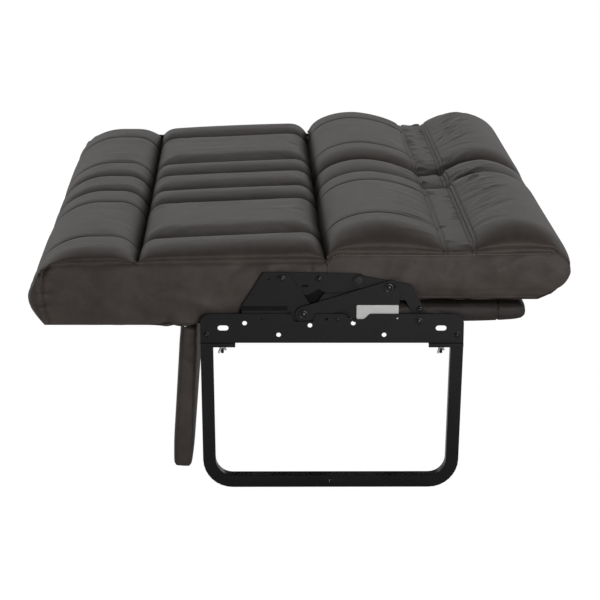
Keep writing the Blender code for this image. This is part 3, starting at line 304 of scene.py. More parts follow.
# Linkage: laser-cut steel plates on shoulder pins at each end of the sofa, powder-coated with the base.
# The support bracket carries the seat's plate, and the link steers the back's curved arm.
black_zinc, shader, place = finish("black_zinc", Specular_IOR_Level=0.30)
turned = noise(place, scale=380.0, detail=3.0)
feed(
    shader,
    Base_Color=between(turned, (0.0028, 0.0028, 0.0030), (0.008, 0.008, 0.0084)),
    Roughness=turned * 0.12 + 0.16,
)
HEAD_PROFILE = (  # shares of a head's radius and height: a rim, a groove and a dome
    (0.0, 0.0), (1.0, 0.0), (1.0, 0.30), (0.92, 0.42), (0.76, 0.40),
    (0.70, 0.20), (0.60, 0.56), (0.40, 0.88), (0.0, 1.0),
)


def domed_head(name, places, radius, height, seat, body):
    """Round fastener heads standing on a face that looks along X."""
    bm = bmesh.new()
    for py, pz in places:
        for side in (-1, 1):
            ring = [bm.verts.new((side * (seat + out * height), py, pz + away * radius))
                    for away, out in HEAD_PROFILE]
            edges = [bm.edges.new(pair) for pair in zip(ring, ring[1:])]
            bmesh.ops.spin(bm, geom=ring + edges, cent=(0.0, py, pz), axis=(1.0, 0.0, 0.0), angle=2 * pi,
                           steps=24, use_merge=True)
    bmesh.ops.remove_doubles(bm, verts=bm.verts, dist=0.00001)
    bmesh.ops.recalc_face_normals(bm, faces=bm.faces)
    piece = piece_from(bm, name, black_zinc)
    shade(piece.data, sharp=radians(45))
    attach(piece, body)


PLATE_EDGE, PIN_EDGE = 0.0005, 0.0009
DOME_SHARE, DOME_SUNK = 0.44, 0.0004
DOME_RISE, LOW_DOME_RISE = 0.0024, 0.0006  # the link passes close over the fold pivot
for side in ("right", "left"):
    coated("support_bracket_" + side, "base", PLATE_EDGE)
    coated("seat_bracket_" + side, "seat", PLATE_EDGE)
    coated("back_bracket_" + side, "back", PLATE_EDGE)
    coated("control_link_" + side, "control_link_" + side, PLATE_EDGE)
for body, nodes in (
    ("base", ("seat_pivot_pin_", "link_pivot_pin_", "bed_stop_pin_")),
    ("seat", ("seat_bolt_",)),
    ("back", ("back_bolt_", "fold_pivot_pin_", "link_pin_")),
):
    for node in nodes:
        for side in ("right", "left"):
            coated(node + side, body, PIN_EDGE, black_zinc)
        low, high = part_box(node + "right")
        middle = (low + high) / 2
        rise = LOW_DOME_RISE if node == "fold_pivot_pin_" else DOME_RISE
        domed_head(node + "domes", [(middle.y, middle.z)], radius=(high.z - low.z) * DOME_SHARE, height=rise,
                   seat=high.x - DOME_SUNK, body=body)

# End bolts and rivets: round-headed steel fasteners through the rails, in the pins' black zinc.
# One bolt closes the hole at each end of a rail, and a rivet ties the support bracket's tail.
rail_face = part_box("base_rail_right")[1].x
domed_head("rail_end_bolts", [(-0.189, 0.3205), (0.313, 0.3205)], radius=0.0066, height=0.0034,
           seat=rail_face, body="base")
domed_head("rail_rivets", [(0.073, 0.3525)], radius=0.0042, height=0.0020, seat=rail_face, body="base")

# Blank label: a white vinyl sticker on the right control link's lobe, left without any print.
# It is cut with rounded corners and lies flat on the plate behind the rail's dip.
LABEL_SIZE, LABEL_CORNER = (0.00016, 0.0840, 0.0285), 0.0025
LABEL_MIDDLE = (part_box("control_link_right")[1].x + 0.00009, 0.1535, 0.3670)
white_vinyl, shader, place = finish("white_vinyl", Roughness=0.42)
soil = noise(place, scale=55.0, detail=4.0, Roughness=0.65)
feed(shader, Base_Color=between(soil, (0.50, 0.50, 0.49), (0.43, 0.425, 0.41)))
bm = bmesh.new()
bmesh.ops.create_cube(bm, size=1.0)
bmesh.ops.scale(bm, verts=bm.verts, vec=LABEL_SIZE)
bmesh.ops.translate(bm, verts=bm.verts, vec=LABEL_MIDDLE)
upright = [e for e in bm.edges if abs(e.verts[0].co.x - e.verts[1].co.x) > 0.0001]
bmesh.ops.bevel(bm, geom=upright, offset=LABEL_CORNER, offset_type="OFFSET", affect="EDGES", segments=4,
                profile=0.5, material=-1)
blank_label = piece_from(bm, "blank_label", white_vinyl)
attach(blank_label, "control_link_right")


# Seat frame: sawn softwood rails screwed into a box, with zigzag springs between them.
# The boards lie along or across the sofa, and their grain runs with them.
def sawn_timber(name, stretch):
    """Planed softwood whose grain runs along one axis."""
    material, shader, place = finish(name, Specular_IOR_Level=0.3)
    along = place.node("Mapping", {}, {"Vector": place, "Scale": stretch})
    year = noise(along, scale=3.0, detail=3.0, Distortion=1.2)
    pore = noise(along, scale=22.0, detail=5.0, Roughness=0.7)
    ring = (year * 9.0).math("FRACT")
    feed(
        shader,
        Base_Color=between(ring * 0.6 + pore * 0.5, (0.50, 0.35, 0.20), (0.30, 0.185, 0.095)),
        Roughness=pore * 0.25 + 0.5,
        Normal=bump(pore, strength=0.3, distance=0.0004),
    )
    return material


def dress(material, *nodes):
    """Gives a finish to CAD nodes that show as they are."""
    for node in nodes:
        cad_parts[node].material_slots[0].material = material


timber_across = sawn_timber("timber_across", (1.6, 26.0, 26.0))
timber_along = sawn_timber("timber_along", (26.0, 1.6, 26.0))
dress(timber_across, "seat_rail_front", "seat_rail_rear", "back_rail_lower", "back_rail_upper")
dress(timber_along, "seat_rail_centre", "seat_rail_right", "seat_rail_left")
dress(timber_along, "back_rail_right", "back_rail_left")

spring_steel, shader, place = finish("oiled_spring_steel", Metallic=1.0)
scale = noise(place, scale=90.0, detail=4.0)
feed(
    shader,
    Base_Color=between(scale, (0.16, 0.16, 0.17), (0.36, 0.35, 0.34)),
    Roughness=scale * 0.3 + 0.25,
)
dress(spring_steel, "seat_spring_1", "seat_spring_2", "back_spring_1", "back_spring_2")


# Dust cover: black non-woven cloth stapled under the seat's frame, a little slack between the boards.
# It keeps dust off the springs, and it is drawn flat where the front panel's hinge crosses it.
def swag(value, start, stop):
    """0 at both ends of a span and 1 at its middle, as a slack edge hangs."""
    return np.sin(pi * ramp(value, start, stop))


dust_cloth, shader, place = finish("dust_cloth", Specular_IOR_Level=0.2)
felt = noise(place, scale=340.0, detail=4.0, Roughness=0.75)
dimple = place.node("TexVoronoi", {"feature": "F1"}, {"Vector": place, "Scale": 480.0, "Randomness": 0.15})
feed(
    shader,
    Base_Color=between(felt, (0.010, 0.010, 0.010), (0.028, 0.028, 0.029)),
    Roughness=felt * 0.2 + 0.75,
    Normal=bump(dimple + felt, strength=0.5, distance=0.0005),
)
BAY_FRONT, HINGE_FRONT, HINGE_REAR, BAY_REAR, BAY_END = -0.463, -0.246, -0.200, -0.003, 0.662
CLOTH_SLACK, STAPLE_PULL, STAPLE_WAVES, CLOTH_THICK = 0.0024, 0.0005, 105.0, 0.0005
low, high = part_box("seat_dust_cover")
bm = bmesh.new()
bmesh.ops.create_grid(bm, x_segments=150, y_segments=60, size=0.5)
bmesh.ops.scale(bm, verts=bm.verts, vec=(high.x - low.x, high.y - low.y, 1.0))
bmesh.ops.translate(bm, verts=bm.verts, vec=(0.0, (low.y + high.y) / 2, high.z - 0.0008))
for vert in bm.verts:
    hang = swag(vert.co.y, BAY_FRONT, HINGE_FRONT) + swag(vert.co.y, HINGE_REAR, BAY_REAR)
    staples = np.sin(vert.co.x * STAPLE_WAVES) * swag(vert.co.y, BAY_FRONT, BAY_REAR)
    vert.co.z -= (CLOTH_SLACK + STAPLE_PULL * staples) * swag(abs(vert.co.x), 0, BAY_END) * hang
bmesh.ops.solidify(bm, geom=bm.faces[:], thickness=CLOTH_THICK)
bmesh.ops.recalc_face_normals(bm, faces=bm.faces)
dust_cover = piece_from(bm, "dust_cover_cloth", dust_cloth)
shade(dust_cover.data, sharp=radians(50))
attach(dust_cover, "seat")
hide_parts("seat_dust_cover")


# Seat cushion: foam bolster and main pad under one leatherette cover, sewn into seven panels across.
# The ends are boxed, the front corners are puckered, and the cover is stapled to the frame below.
def leatherette_finish(name, dark, light):
    """Embossed upholstery vinyl: pebbled grain over fine creases, with a low sheen."""
    material, shader, place = finish(name, Specular_IOR_Level=0.18, Coat_Roughness=0.40)
    drift = noise(place, scale=11.0, detail=6.0, Roughness=0.6)
    warp = noise(place, scale=260.0, detail=2.0, output=1)
    bent = place.node("VectorMath", {"operation": "SCALE"}, {0: warp, "Scale": 0.0016})
    bent = place.node("VectorMath", {"operation": "ADD"}, {0: place, 1: bent})
    pebble = place.node("TexVoronoi", {"feature": "DISTANCE_TO_EDGE"}, {"Vector": bent, "Scale": 620.0})
    pebble = spread(pebble, low=0.0, high=0.22)
    fine = noise(place, scale=1500.0, detail=2.0)
    handled = noise(place, scale=28.0, detail=5.0, Roughness=0.6)
    slack = noise(place, scale=46.0, detail=3.0, Distortion=0.6)
    patchy = spread(drift * 0.6 + handled * 0.4, low=0.36, high=0.64)
    # The base colour takes a little of the pebble grain, so the grain's grooves are painted slightly darker:
    # painted shade.
    feed(
        shader,
        Base_Color=between(patchy * 0.9 + pebble * 0.1, dark, light),
        Roughness=handled * 0.16 - pebble * 0.06 + 0.46,
        Coat_Weight=handled * 0.06,
        Normal=bump(pebble + fine * 0.3, strength=0.35, distance=0.0004,
                    Normal=bump(slack, strength=0.32, distance=0.0022)),
    )
    return material


leatherette = leatherette_finish("leatherette", (0.0345, 0.0272, 0.0236), (0.0570, 0.0462, 0.0402))
SEAMS = (0.085, 0.225, 0.565)  # sewn lines across the sofa, each side of its middle
HALF = 0.715                   # from the middle to a boxed end
NEAR_SEAM = (0.0015, 0.004, 0.009)
COVER_PITCH, COVER_HEM = 0.0095, 0.026
TOUCH = 1e-6                   # closer than this counts as the same place


def crown(distance, reach, fullness):
    """0 at a sewn edge, rising in a rounded way to 1 at its reach."""
    slack = np.clip(1 - distance / reach, 0, 1)
    return (1 - slack**fullness) ** (1 / fullness)


def drop(distance, depth, reach, fullness):
    """How far a face falls towards a sewn edge: its whole depth there, and none of it past its reach."""
    return depth * (1 - crown(distance, reach, fullness))


def channel(x, lines, depth, reach, fullness=1.7):
    """How far sewn lines on both halves of the sofa pull a pad's face down."""
    return sum(drop(np.abs(np.abs(x) - line), depth, reach, fullness) for line in lines)


def groove(distance, depth, width):
    """A soft-sided groove along a line, or its fade with a depth of 1."""
    return depth * np.exp(-((distance / width) ** 2))


def stations(lines, pitch):
    """Places across a cover: close together beside each sewn line, and about a pitch apart between."""
    places = [lines[0]]
    for start, end in zip(lines, lines[1:]):
        count = max(int((end - start - 2 * NEAR_SEAM[-1]) / pitch), 1)
        middle = np.linspace(start + NEAR_SEAM[-1], end - NEAR_SEAM[-1], count + 1)[1:-1]
        places += [start + near for near in NEAR_SEAM] + list(middle)
        places += [end - near for near in reversed(NEAR_SEAM)] + [end]
    return np.array(places)


def points_of(mesh):
    points = np.zeros(len(mesh.vertices) * 3, np.float32)
    mesh.vertices.foreach_get("co", points)
    return points.reshape(-1, 3).astype(float)


def place_points(mesh, points):
    mesh.vertices.foreach_set("co", points.astype(np.float32).ravel())
    mesh.update()


def cut_cover(name, across, along, levels):
    """Closed block with a face grid at the given places; its underside is one panel inside a hem."""
    sides = (across, along, levels)
    bm = bmesh.new()
    bmesh.ops.create_cube(bm, size=2.0)
    for axis, places in enumerate(sides):
        rows = [e for e in bm.edges if abs(e.verts[0].co[axis] - e.verts[1].co[axis]) > TOUCH]
        bmesh.ops.subdivide_edges(bm, edges=rows, cuts=len(places) - 2, use_grid_fill=True)
    mesh = bpy.data.meshes.new(name)
    bm.to_mesh(mesh)
    grid = points_of(mesh)
    place_points(mesh, np.stack([np.interp(grid[:, axis], np.linspace(-1, 1, len(places)), places)
                                 for axis, places in enumerate(sides)], axis=1))
    bm.clear()
    bm.from_mesh(mesh)
    spans = [(places[0] + COVER_HEM, places[-1] - COVER_HEM) for places in (across, along)]
    spans.append((levels[0] - 1, levels[0] + TOUCH))
    under = [face for face in bm.faces
             if all(low < c < high for vert in face.verts for c, (low, high) in zip(vert.co, spans))]
    bmesh.ops.triangulate(bm, faces=bmesh.ops.dissolve_faces(bm, faces=under)["region"])
    bm.to_mesh(mesh)
    bm.free()
    block = points_of(mesh)
    kept = mesh.attributes.new("block", "FLOAT_VECTOR", "POINT")
    kept.data.foreach_set("vector", block.astype(np.float32).ravel())
    piece = bpy.data.objects.new(name, mesh)
    scene.collection.objects.link(piece)
    return piece, block


SWELL_PRESSURE, SWELL_STEPS = 4.0, 20


def stuffed(piece, held, cap):
    """Lets the cover swell on its stuffing while its sewn lines are held, then keeps that shape."""
    start = points_of(piece.data)
    piece.vertex_groups.new(name="sewn").add(np.flatnonzero(held).tolist(), 1.0, "REPLACE")
    cloth = piece.modifiers.new("stuffing", "CLOTH")
    cover = cloth.settings
    cover.quality, cover.mass, cover.air_damping = 5, 0.3, 2.0
    cover.tension_stiffness, cover.compression_stiffness = 18.0, 18.0
    cover.shear_stiffness, cover.bending_stiffness = 8.0, 0.8
    cover.use_pressure, cover.uniform_pressure_force = True, SWELL_PRESSURE
    cover.vertex_group_mass = "sewn"
    cover.effector_weights.gravity = 0.0
    cloth.collision_settings.use_collision = False
    cloth.point_cache.frame_start, cloth.point_cache.frame_end = 1, SWELL_STEPS
    for moment in range(1, SWELL_STEPS + 1):
        scene.frame_set(moment)
    swollen = piece.evaluated_get(bpy.context.evaluated_depsgraph_get())
    moved = points_of(swollen.data) - start
    piece.modifiers.remove(cloth)
    piece.vertex_groups.clear()
    scene.frame_set(1)
    length = np.linalg.norm(moved, axis=1, keepdims=True) + 1e-9
    place_points(piece.data, start + moved * cap * np.tanh(length / cap) / length)


def smoothed(piece):
    """One subdivision, applied, so that the cover's finer folds have points to follow."""
    rounding = piece.modifiers.new("rounding", "SUBSURF")
    rounding.levels = rounding.render_levels = 1
    rounding.use_limit_surface = False
    finer = bpy.data.meshes.new_from_object(piece.evaluated_get(bpy.context.evaluated_depsgraph_get()))
    piece.modifiers.clear()
    finer.name = piece.name
    piece.data = finer
    block = np.zeros(len(finer.vertices) * 3, np.float32)
    finer.attributes["block"].data.foreach_get("vector", block)
    return points_of(finer), block.reshape(-1, 3).astype(float)


def outward(mesh):
    normals = np.zeros(len(mesh.vertices) * 3, np.float32)
    mesh.vertex_normals.foreach_get("vector", normals)
    return normals.reshape(-1, 3).astype(float)


def crease(flat, start, end, width, bend=0.0):
    """Strength of one crease at points on a face: 1 along its line, fading at its sides and ends."""
    line = np.array(end, float) - start
    length = np.linalg.norm(line)
    along = ((flat - start) @ line) / length**2
    aside = (flat - start) @ np.array([-line[1], line[0]]) / length
    inside = np.clip(along, 0, 1)
    aside = aside - bend * np.sin(pi * inside)
    fade = np.where((along > 0) & (along < 1), np.sin(pi * inside) ** 0.7, 0.0)
    return fade * groove(aside, depth=1.0, width=width)


rng = np.random.default_rng(11)


def either_way(low, high):
    """A random size, up or down."""
    return rng.uniform(low, high) * rng.choice((-1, 1))


def pucker(face, middle, reach, sizes, widths):
    """Small creases that run out from one drawn-in point."""
    total = np.zeros(len(face))
    for number in range(14):
        way = rng.uniform(0, 2 * pi)
        stop = (middle[0] + reach[0] * np.cos(way), middle[1] + reach[1] * np.sin(way))
        total += either_way(*sizes) * crease(face, middle, stop, rng.uniform(*widths))
    return total


def rumples(face, places, heights, steepest):
    """Broad slack creases on a boxed end."""
    total = np.zeros(len(face))
    for number in range(34):
        left, low = rng.uniform(*places), rng.uniform(*heights)
        reach, rise = rng.uniform(0.02, 0.10), either_way(0.015, steepest)
        total += either_way(0.0010, 0.0028) * crease(
            face, (left, low), (left + reach, low + rise),
            width=rng.uniform(0.007, 0.018), bend=rng.uniform(-0.01, 0.01))
    return total


def sewn_at(value, line):
    """True on the rows of points beside a sewn line."""
    return np.abs(value - line) < 0.002


def upholstered(piece, points, cover, body, node):
    """Sets a cover's last shape and finish, and puts it on its body in place of a CAD node."""
    place_points(piece.data, points)
    piece.data.materials.append(cover)
    piece.data.shade_smooth()
    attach(piece, body)
    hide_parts(node)


SEAT_FRONT, BOLSTER_REAR, SEAT_REAR = -0.5465, -0.325, 0.0522
SEAT_BASE, BOLSTER_EDGE, BOLSTER_TOP, VALLEY, PAD_TOP = 0.3432, 0.410, 0.488, 0.430, 0.489
SEAT_SEAM = ((-0.5465, 0.440), (-0.514, 0.459), (-0.330, 0.463), (0.050, 0.467))  # along a boxed end
SEAT_TUFT = (-0.509, 0.457)
BELLY = 0.68        # share of the front's height at which it stands out furthest
FLAT_END = 0.7146   # the ends stay behind this where the seat brackets lie against them
SEAT_SWELL = 0.0045
across = stations([-HALF, *[-s for s in reversed(SEAMS)], *SEAMS, HALF], COVER_PITCH)
along = stations([SEAT_FRONT, SEAT_FRONT + 0.032, BOLSTER_REAR, SEAT_REAR], COVER_PITCH)
seat_cushion, block = cut_cover("seat_cushion_cover", across, along, levels=np.linspace(0, 1, 18))


def seat_face(block):
    """The cover's shape before it swells."""
    x, y, level = block.T
    end = HALF - np.abs(x)
    pinch = drop(end, depth=1.0, reach=np.where(x > 0, 0.035, 0.070), fullness=2.0)
    bolster = BOLSTER_EDGE + (BOLSTER_TOP - BOLSTER_EDGE) * crown(y - SEAT_FRONT, reach=0.124, fullness=1.85)
    valley = VALLEY + 0.017 * ramp(np.abs(x), 0.54, 0.63)
    bolster -= drop(BOLSTER_REAR - y, depth=BOLSTER_TOP - valley, reach=0.060, fullness=2.0)
    bolster -= channel(x, SEAMS[1:], depth=0.0050, reach=0.024)
    bolster -= channel(x, SEAMS[:1], depth=0.021, reach=0.046, fullness=2.0)
    slope = PAD_TOP + 0.015 * ramp(y, -0.300, 0.020)
    pad = valley + (slope - valley) * crown(y - BOLSTER_REAR, reach=0.040, fullness=2.5)
    pad -= drop(SEAT_REAR - y, depth=0.052, reach=0.050, fullness=2.1)
    clear_of_valley = crown(y - BOLSTER_REAR, reach=0.03, fullness=2.0)
    pad -= channel(x, SEAMS, depth=0.027, reach=0.055, fullness=2.0) * clear_of_valley
    top = np.where(y < BOLSTER_REAR - TOUCH, bolster, pad)
    end_seam = np.interp(y, *zip(*SEAT_SEAM))
    top = end_seam + (top - end_seam) * crown(end, reach=0.056, fullness=2.1)
    rim = np.min([end, y - SEAT_FRONT, SEAT_REAR - y], axis=0)
    hem = 0.0068 - 0.0115 * ramp(y, -0.240, -0.130)
    base = SEAT_BASE - hem * (1 - ramp(rim, 0.008, 0.024))
    z = base + (top - base) * level
    front = ramp(y, SEAT_FRONT + 0.09, SEAT_FRONT)
    under, over = 0.030 * (1 - level / BELLY) ** 2, 0.011 * ((level - BELLY) / (1 - BELLY)) ** 2
    tuck = np.where(level < BELLY, under, over)
    moved = y + 0.021 * front * pinch + tuck * front * (1 - 0.45 * pinch)
    rear = ramp(y, SEAT_REAR - 0.054, SEAT_REAR)
    moved -= 0.016 * rear * ramp(end, 0.052, 0.112) * np.clip(1.15 - level, 0, 1)
    panel = 0.0045 * (2 * level - 1) ** 2 + groove(1 - level, depth=0.0030, width=0.05)
    drawn = np.where(end < TOUCH, panel, -0.0030 * swag(end, 0, 0.022) * level)
    return np.stack([x - np.sign(x) * drawn, moved, z], axis=1)


place_points(seat_cushion.data, seat_face(block))
x, y, level = block.T
on_line = np.any([sewn_at(np.abs(x), line) for line in SEAMS], axis=0) | sewn_at(y, BOLSTER_REAR)
held = (level < TOUCH) | ((level > 1 - TOUCH) & on_line) | (HALF - np.abs(x) < TOUCH)
stuffed(seat_cushion, held, SEAT_SWELL)
points, block = smoothed(seat_cushion)
normals = outward(seat_cushion.data)
x, y, level = block.T
end = HALF - np.abs(x)
on_end, upper = end < 1e-4, level > 0.995
at_end = groove(end, depth=1.0, width=0.030)
sink, lift = np.zeros(len(x)), np.zeros(len(x))
for line in SEAMS:
    sink += upper * groove(np.abs(x) - line, depth=0.0028, width=0.0018)
sink += groove(np.hypot(end, (1 - level) * 0.12), depth=0.0035, width=0.0022)
sink += on_end * groove(y - SEAT_FRONT - 0.009, depth=0.0042, width=0.0028) * ramp(level, 0, 0.1)
sink += on_end * groove(points[:, 1] - 0.019, depth=0.0014, width=0.0016) * ramp(level, 0.6, 0.7)
flat = np.stack([x, y], axis=1)
for number in range(150):
    start_x = rng.uniform(-0.70, 0.70)
    start_y = rng.uniform(-0.49, -0.40)
    reach = rng.uniform(0.05, 0.12)
    drift = rng.uniform(-0.006, 0.006)
    size = either_way(0.0001, 0.0004)
    stop = (start_x + drift, start_y + reach)
    lift += size * crease(flat, (start_x, start_y), stop, width=rng.uniform(0.003, 0.006))
for number in range(60):
    start_x = rng.uniform(-0.66, 0.66)
    start_y = rng.uniform(-0.30, -0.12)
    reach = rng.uniform(0.08, 0.20)
    size = either_way(0.0002, 0.0006)
    drift = rng.uniform(-0.01, 0.01)
    stop = (start_x + drift, start_y + reach)
    lift += size * crease(flat, (start_x, start_y), stop, width=rng.uniform(0.005, 0.012))
lift *= upper
side_face = points[:, 1:].copy()
for number in range(20):
    low = rng.uniform(0.362, 0.452)
    lift += at_end * either_way(0.0010, 0.0026) * crease(
        side_face, (-0.540, low), (rng.uniform(-0.506, -0.480), low + rng.uniform(-0.014, 0.010)),
        width=rng.uniform(0.0030, 0.0050))
lift += at_end * pucker(
    side_face, SEAT_TUFT, reach=(0.034, 0.022), sizes=(0.0006, 0.0014), widths=(0.0035, 0.0055))
sink += at_end * groove(np.hypot(*(side_face - SEAT_TUFT).T), depth=0.0025, width=0.006)
lift += at_end * (level < 0.98) * rumples(
    side_face, places=(-0.50, 0.02), heights=(0.345, 0.450), steepest=0.060)
points += normals * (lift - sink)[:, None]
behind_plate = (points[:, 1] > -0.10) & (end < 0.03)
points[:, 0] = np.where(behind_plate, np.clip(points[:, 0], -FLAT_END, FLAT_END), points[:, 0])
upholstered(seat_cushion, points, leatherette, "seat", "seat_cushion")

# Painted shade: a thin near-black sheet on each of the cushion's ends where the linkage passes close by,
# standing in for the shadow there.
# Each is a thin sheet between the cover and the seat bracket.
PATCH_SIZE, PATCH_MIDDLE = (0.0003, 0.088, 0.076), (0.71495, 0.004, 0.394)
# A near-black finish that stands in for shade, mottled a little at random.
painted_shade_sheet, shader, place = finish("painted_shade_sheet", Specular_IOR_Level=0.1)
shade_sheet_mottle = noise(place, scale=70.0, detail=4.0)
feed(
    shader,
    Base_Color=between(shade_sheet_mottle, (0.0012, 0.0012, 0.0012), (0.0040, 0.0036, 0.0034)),
    Roughness=shade_sheet_mottle * 0.2 + 0.6,
)
bm = bmesh.new()
for side in (-1, 1):
    there = Matrix.Translation((side * PATCH_MIDDLE[0], *PATCH_MIDDLE[1:]))
    bmesh.ops.create_cube(bm, size=1.0, matrix=there @ Matrix.Diagonal((*PATCH_SIZE, 1.0)))
painted_shade_patches = piece_from(bm, "painted_shade_patches", painted_shade_sheet)
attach(painted_shade_patches, "seat")

# Back cushion: a lumbar pad and a head pad under one cover, drawn together by a sewn band between them.
# Two deep tucks part off a narrow centre panel, and the boxed ends carry a row of topstitching.
BACK_FRONT, BAND_FRONT, BAND_REAR, BACK_REAR = 0.0534, 0.287, 0.345, 0.542
BACK_BASE, LUMBAR_EDGE, BAND_TOP, HEAD_EDGE = 0.390, 0.484, 0.499, 0.500
BACK_SEAM = ((0.054, 0.474), (0.070, 0.486), (0.300, 0.484), (0.510, 0.490), (0.542, 0.468))  # boxed end
BACK_TUFT = (0.516, 0.490)
BACK_SWELL = 0.0060
STITCH_ROWS = (-0.0042, 0.0042)  # each side of a band seam
along = stations([BACK_FRONT, BAND_FRONT, BAND_REAR, BACK_REAR], COVER_PITCH)
back_cushion, block = cut_cover("back_cushion_cover", across, along, levels=np.linspace(0, 1, 13))


def back_face(block):
    """The cover's shape before it swells."""
    x, y, level = block.T
    end = HALF - np.abs(x)
    lumbar = LUMBAR_EDGE + 0.054 * crown(y - BACK_FRONT, reach=0.105, fullness=1.9)
    lumbar -= drop(BAND_FRONT - y, depth=0.040, reach=0.120, fullness=1.5)
    lumbar -= channel(x, SEAMS[1:], depth=0.0035, reach=0.020)
    lumbar -= channel(x, SEAMS[:1], depth=0.032, reach=0.075, fullness=2.0)
    band = BAND_TOP - channel(x, SEAMS[:1], depth=0.029, reach=0.085, fullness=1.9)
    head = HEAD_EDGE + 0.039 * crown(y - BAND_REAR, reach=0.090, fullness=1.6)
    head -= drop(BACK_REAR - y, depth=0.086, reach=0.120, fullness=2.0)
    shallower = np.clip((BACK_REAR - y) / 0.05, 0.25, 1)
    head -= channel(x, SEAMS[:1], depth=0.032, reach=0.080, fullness=2.0) * shallower
    top = np.where(y < BAND_FRONT - TOUCH, lumbar, np.where(y > BAND_REAR + TOUCH, head, band))
    top -= 0.006 * np.exp(-((x / 0.07) ** 4))
    end_seam = np.interp(y, *zip(*BACK_SEAM))
    top = end_seam + (top - end_seam) * crown(end, reach=0.080, fullness=2.0)
    z = BACK_BASE + (top - BACK_BASE) * level
    front = ramp(y, BACK_FRONT + 0.05, BACK_FRONT)
    rear = ramp(y, BACK_REAR - 0.10, BACK_REAR)
    bulge = 0.009 * front * ramp(end, 0.052, 0.112) * swag(level * 1.1, 0, 1)
    moved = y - bulge - 0.062 * rear * (1 - level) ** 3.2
    moved -= drop(end, depth=0.0005 * front, reach=0.030, fullness=2.0)
    moved -= drop(end, depth=0.008 * rear, reach=0.045, fullness=2.0)
    panel = np.where(level < 0.5, 0.0120, 0.0045) * (2 * level - 1) ** 2
    panel += groove(1 - level, depth=0.0030, width=0.06) * ramp(y, 0.525, 0.505)
    drawn = np.where(end < TOUCH, panel, -0.0025 * swag(end, 0, 0.022) * level)
    return np.stack([x - np.sign(x) * drawn, moved, z], axis=1)


place_points(back_cushion.data, back_face(block))
x, y, level = block.T
on_line = np.any([sewn_at(np.abs(x), line) for line in SEAMS], axis=0) & (y < BAND_FRONT)
on_line |= sewn_at(np.abs(x), SEAMS[0]) | sewn_at(y, BAND_FRONT) | sewn_at(y, BAND_REAR)
held = (level < TOUCH) | ((level > 1 - TOUCH) & on_line) | (HALF - np.abs(x) < TOUCH)
stuffed(back_cushion, held, BACK_SWELL)
points, block = smoothed(back_cushion)
normals = outward(back_cushion.data)
x, y, level = block.T
end = HALF - np.abs(x)
upper = level > 0.995
at_end = groove(end, depth=1.0, width=0.030)
sink, lift = np.zeros(len(x)), np.zeros(len(x))
sink += upper * groove(np.abs(x) - SEAMS[0], depth=0.0040, width=0.0030)
for line in SEAMS[1:]:
    sink += upper * (y < BAND_FRONT) * groove(np.abs(x) - line, depth=0.0018, width=0.0016)
for line in (BAND_FRONT, BAND_REAR):
    for row in STITCH_ROWS:
        sink += upper * groove(y - line - row, depth=0.0034, width=0.0013)
sink += groove(np.hypot(end, (1 - level) * 0.09), depth=0.0035, width=0.0022) * ramp(y, 0.522, 0.510)
sink += groove(level - 0.16, depth=0.0015, width=0.014) * (end < 0.001) * (y > 0.26)
flat = np.stack([x, y], axis=1)
for number in range(70):
    start_x = rng.uniform(-0.70, 0.70)
    lean = rng.uniform(-0.012, 0.012)
    first, half = (BAND_FRONT, 0.5) if number % 2 else (BAND_REAR, -0.5)
    last = first + half * rng.uniform(0.5, 1.1) * (BAND_REAR - BAND_FRONT)
    lift += either_way(0.0012, 0.0028) * crease(
        flat, (start_x, first), (start_x + lean, last), width=rng.uniform(0.003, 0.007))
for number in range(90):
    start_x = rng.uniform(-0.68, 0.68)
    lean = rng.uniform(-0.03, 0.03)
    first, away = (BAND_FRONT, -1) if number % 2 else (BAND_REAR, 1)
    lift += either_way(0.0004, 0.0012) * crease(
        flat, (start_x, first), (start_x + lean, first + away * rng.uniform(0.03, 0.12)),
        width=rng.uniform(0.004, 0.010))
for side in (-1, 1):
    for number in range(26):
        way = rng.uniform(0.25, pi - 0.25)
        out = rng.choice((-1, 1))
        reach = rng.uniform(0.04, 0.13)
        start = np.array((side * SEAMS[0], BAND_REAR + rng.uniform(0.0, 0.03)))
        stop = start + reach * np.array((np.cos(way), np.sin(way) * (1 if out > 0 else -0.6)))
        lift += either_way(0.0008, 0.0020) * crease(
            flat, start, stop, width=rng.uniform(0.004, 0.009), bend=rng.uniform(-0.006, 0.006))
for number in range(44):
    half = 1 if number % 2 else -1
    start_x = rng.uniform(0.20, 0.56) * half
    lift += either_way(0.0008, 0.0020) * crease(
        flat, (start_x, rng.uniform(0.350, 0.385)),
        (start_x - rng.uniform(0.06, 0.16), rng.uniform(0.410, 0.470)),
        width=rng.uniform(0.004, 0.008), bend=rng.uniform(-0.008, 0.008))
lift *= upper
side_face = points[:, 1:].copy()
lift += at_end * (level < 0.98) * rumples(
    side_face, places=(0.07, 0.50), heights=(0.395, 0.470), steepest=0.050)
lift += at_end * pucker(
    side_face, BACK_TUFT, reach=(0.034, 0.020), sizes=(0.0010, 0.0022), widths=(0.0020, 0.0035))
points += normals * (lift - sink)[:, None]
upholstered(back_cushion, points, leatherette, "back", "back_cushion")

# Topstitching: bonded thread in double rows at the band's seams and in one row along each end seam.
# Each stitch is a short raised capsule of thread that lies on the cover.
STITCH_PITCH, STITCH_LENGTH, BAND_THREAD, END_THREAD = 0.0062, 0.0046, 0.0009, 0.0012
BAND_RUN, END_RUN = (-0.700, 0.700), (0.066, 0.505)
CLEAR_ABOVE, CLEAR_ASIDE = 0.7, 0.9  # where the rays that look for the cover start
END_STITCHES = ((0.055, 0.469), (0.072, 0.4800), (0.300, 0.4790), (0.500, 0.4840))
bonded_thread, shader, place = finish("bonded_thread", Specular_IOR_Level=0.5)
ply = noise(place, scale=1400.0, detail=2.0)
feed(
    shader,
    Base_Color=between(ply, (0.150, 0.132, 0.118), (0.260, 0.235, 0.215)),
    Roughness=ply * 0.2 + 0.45,
)


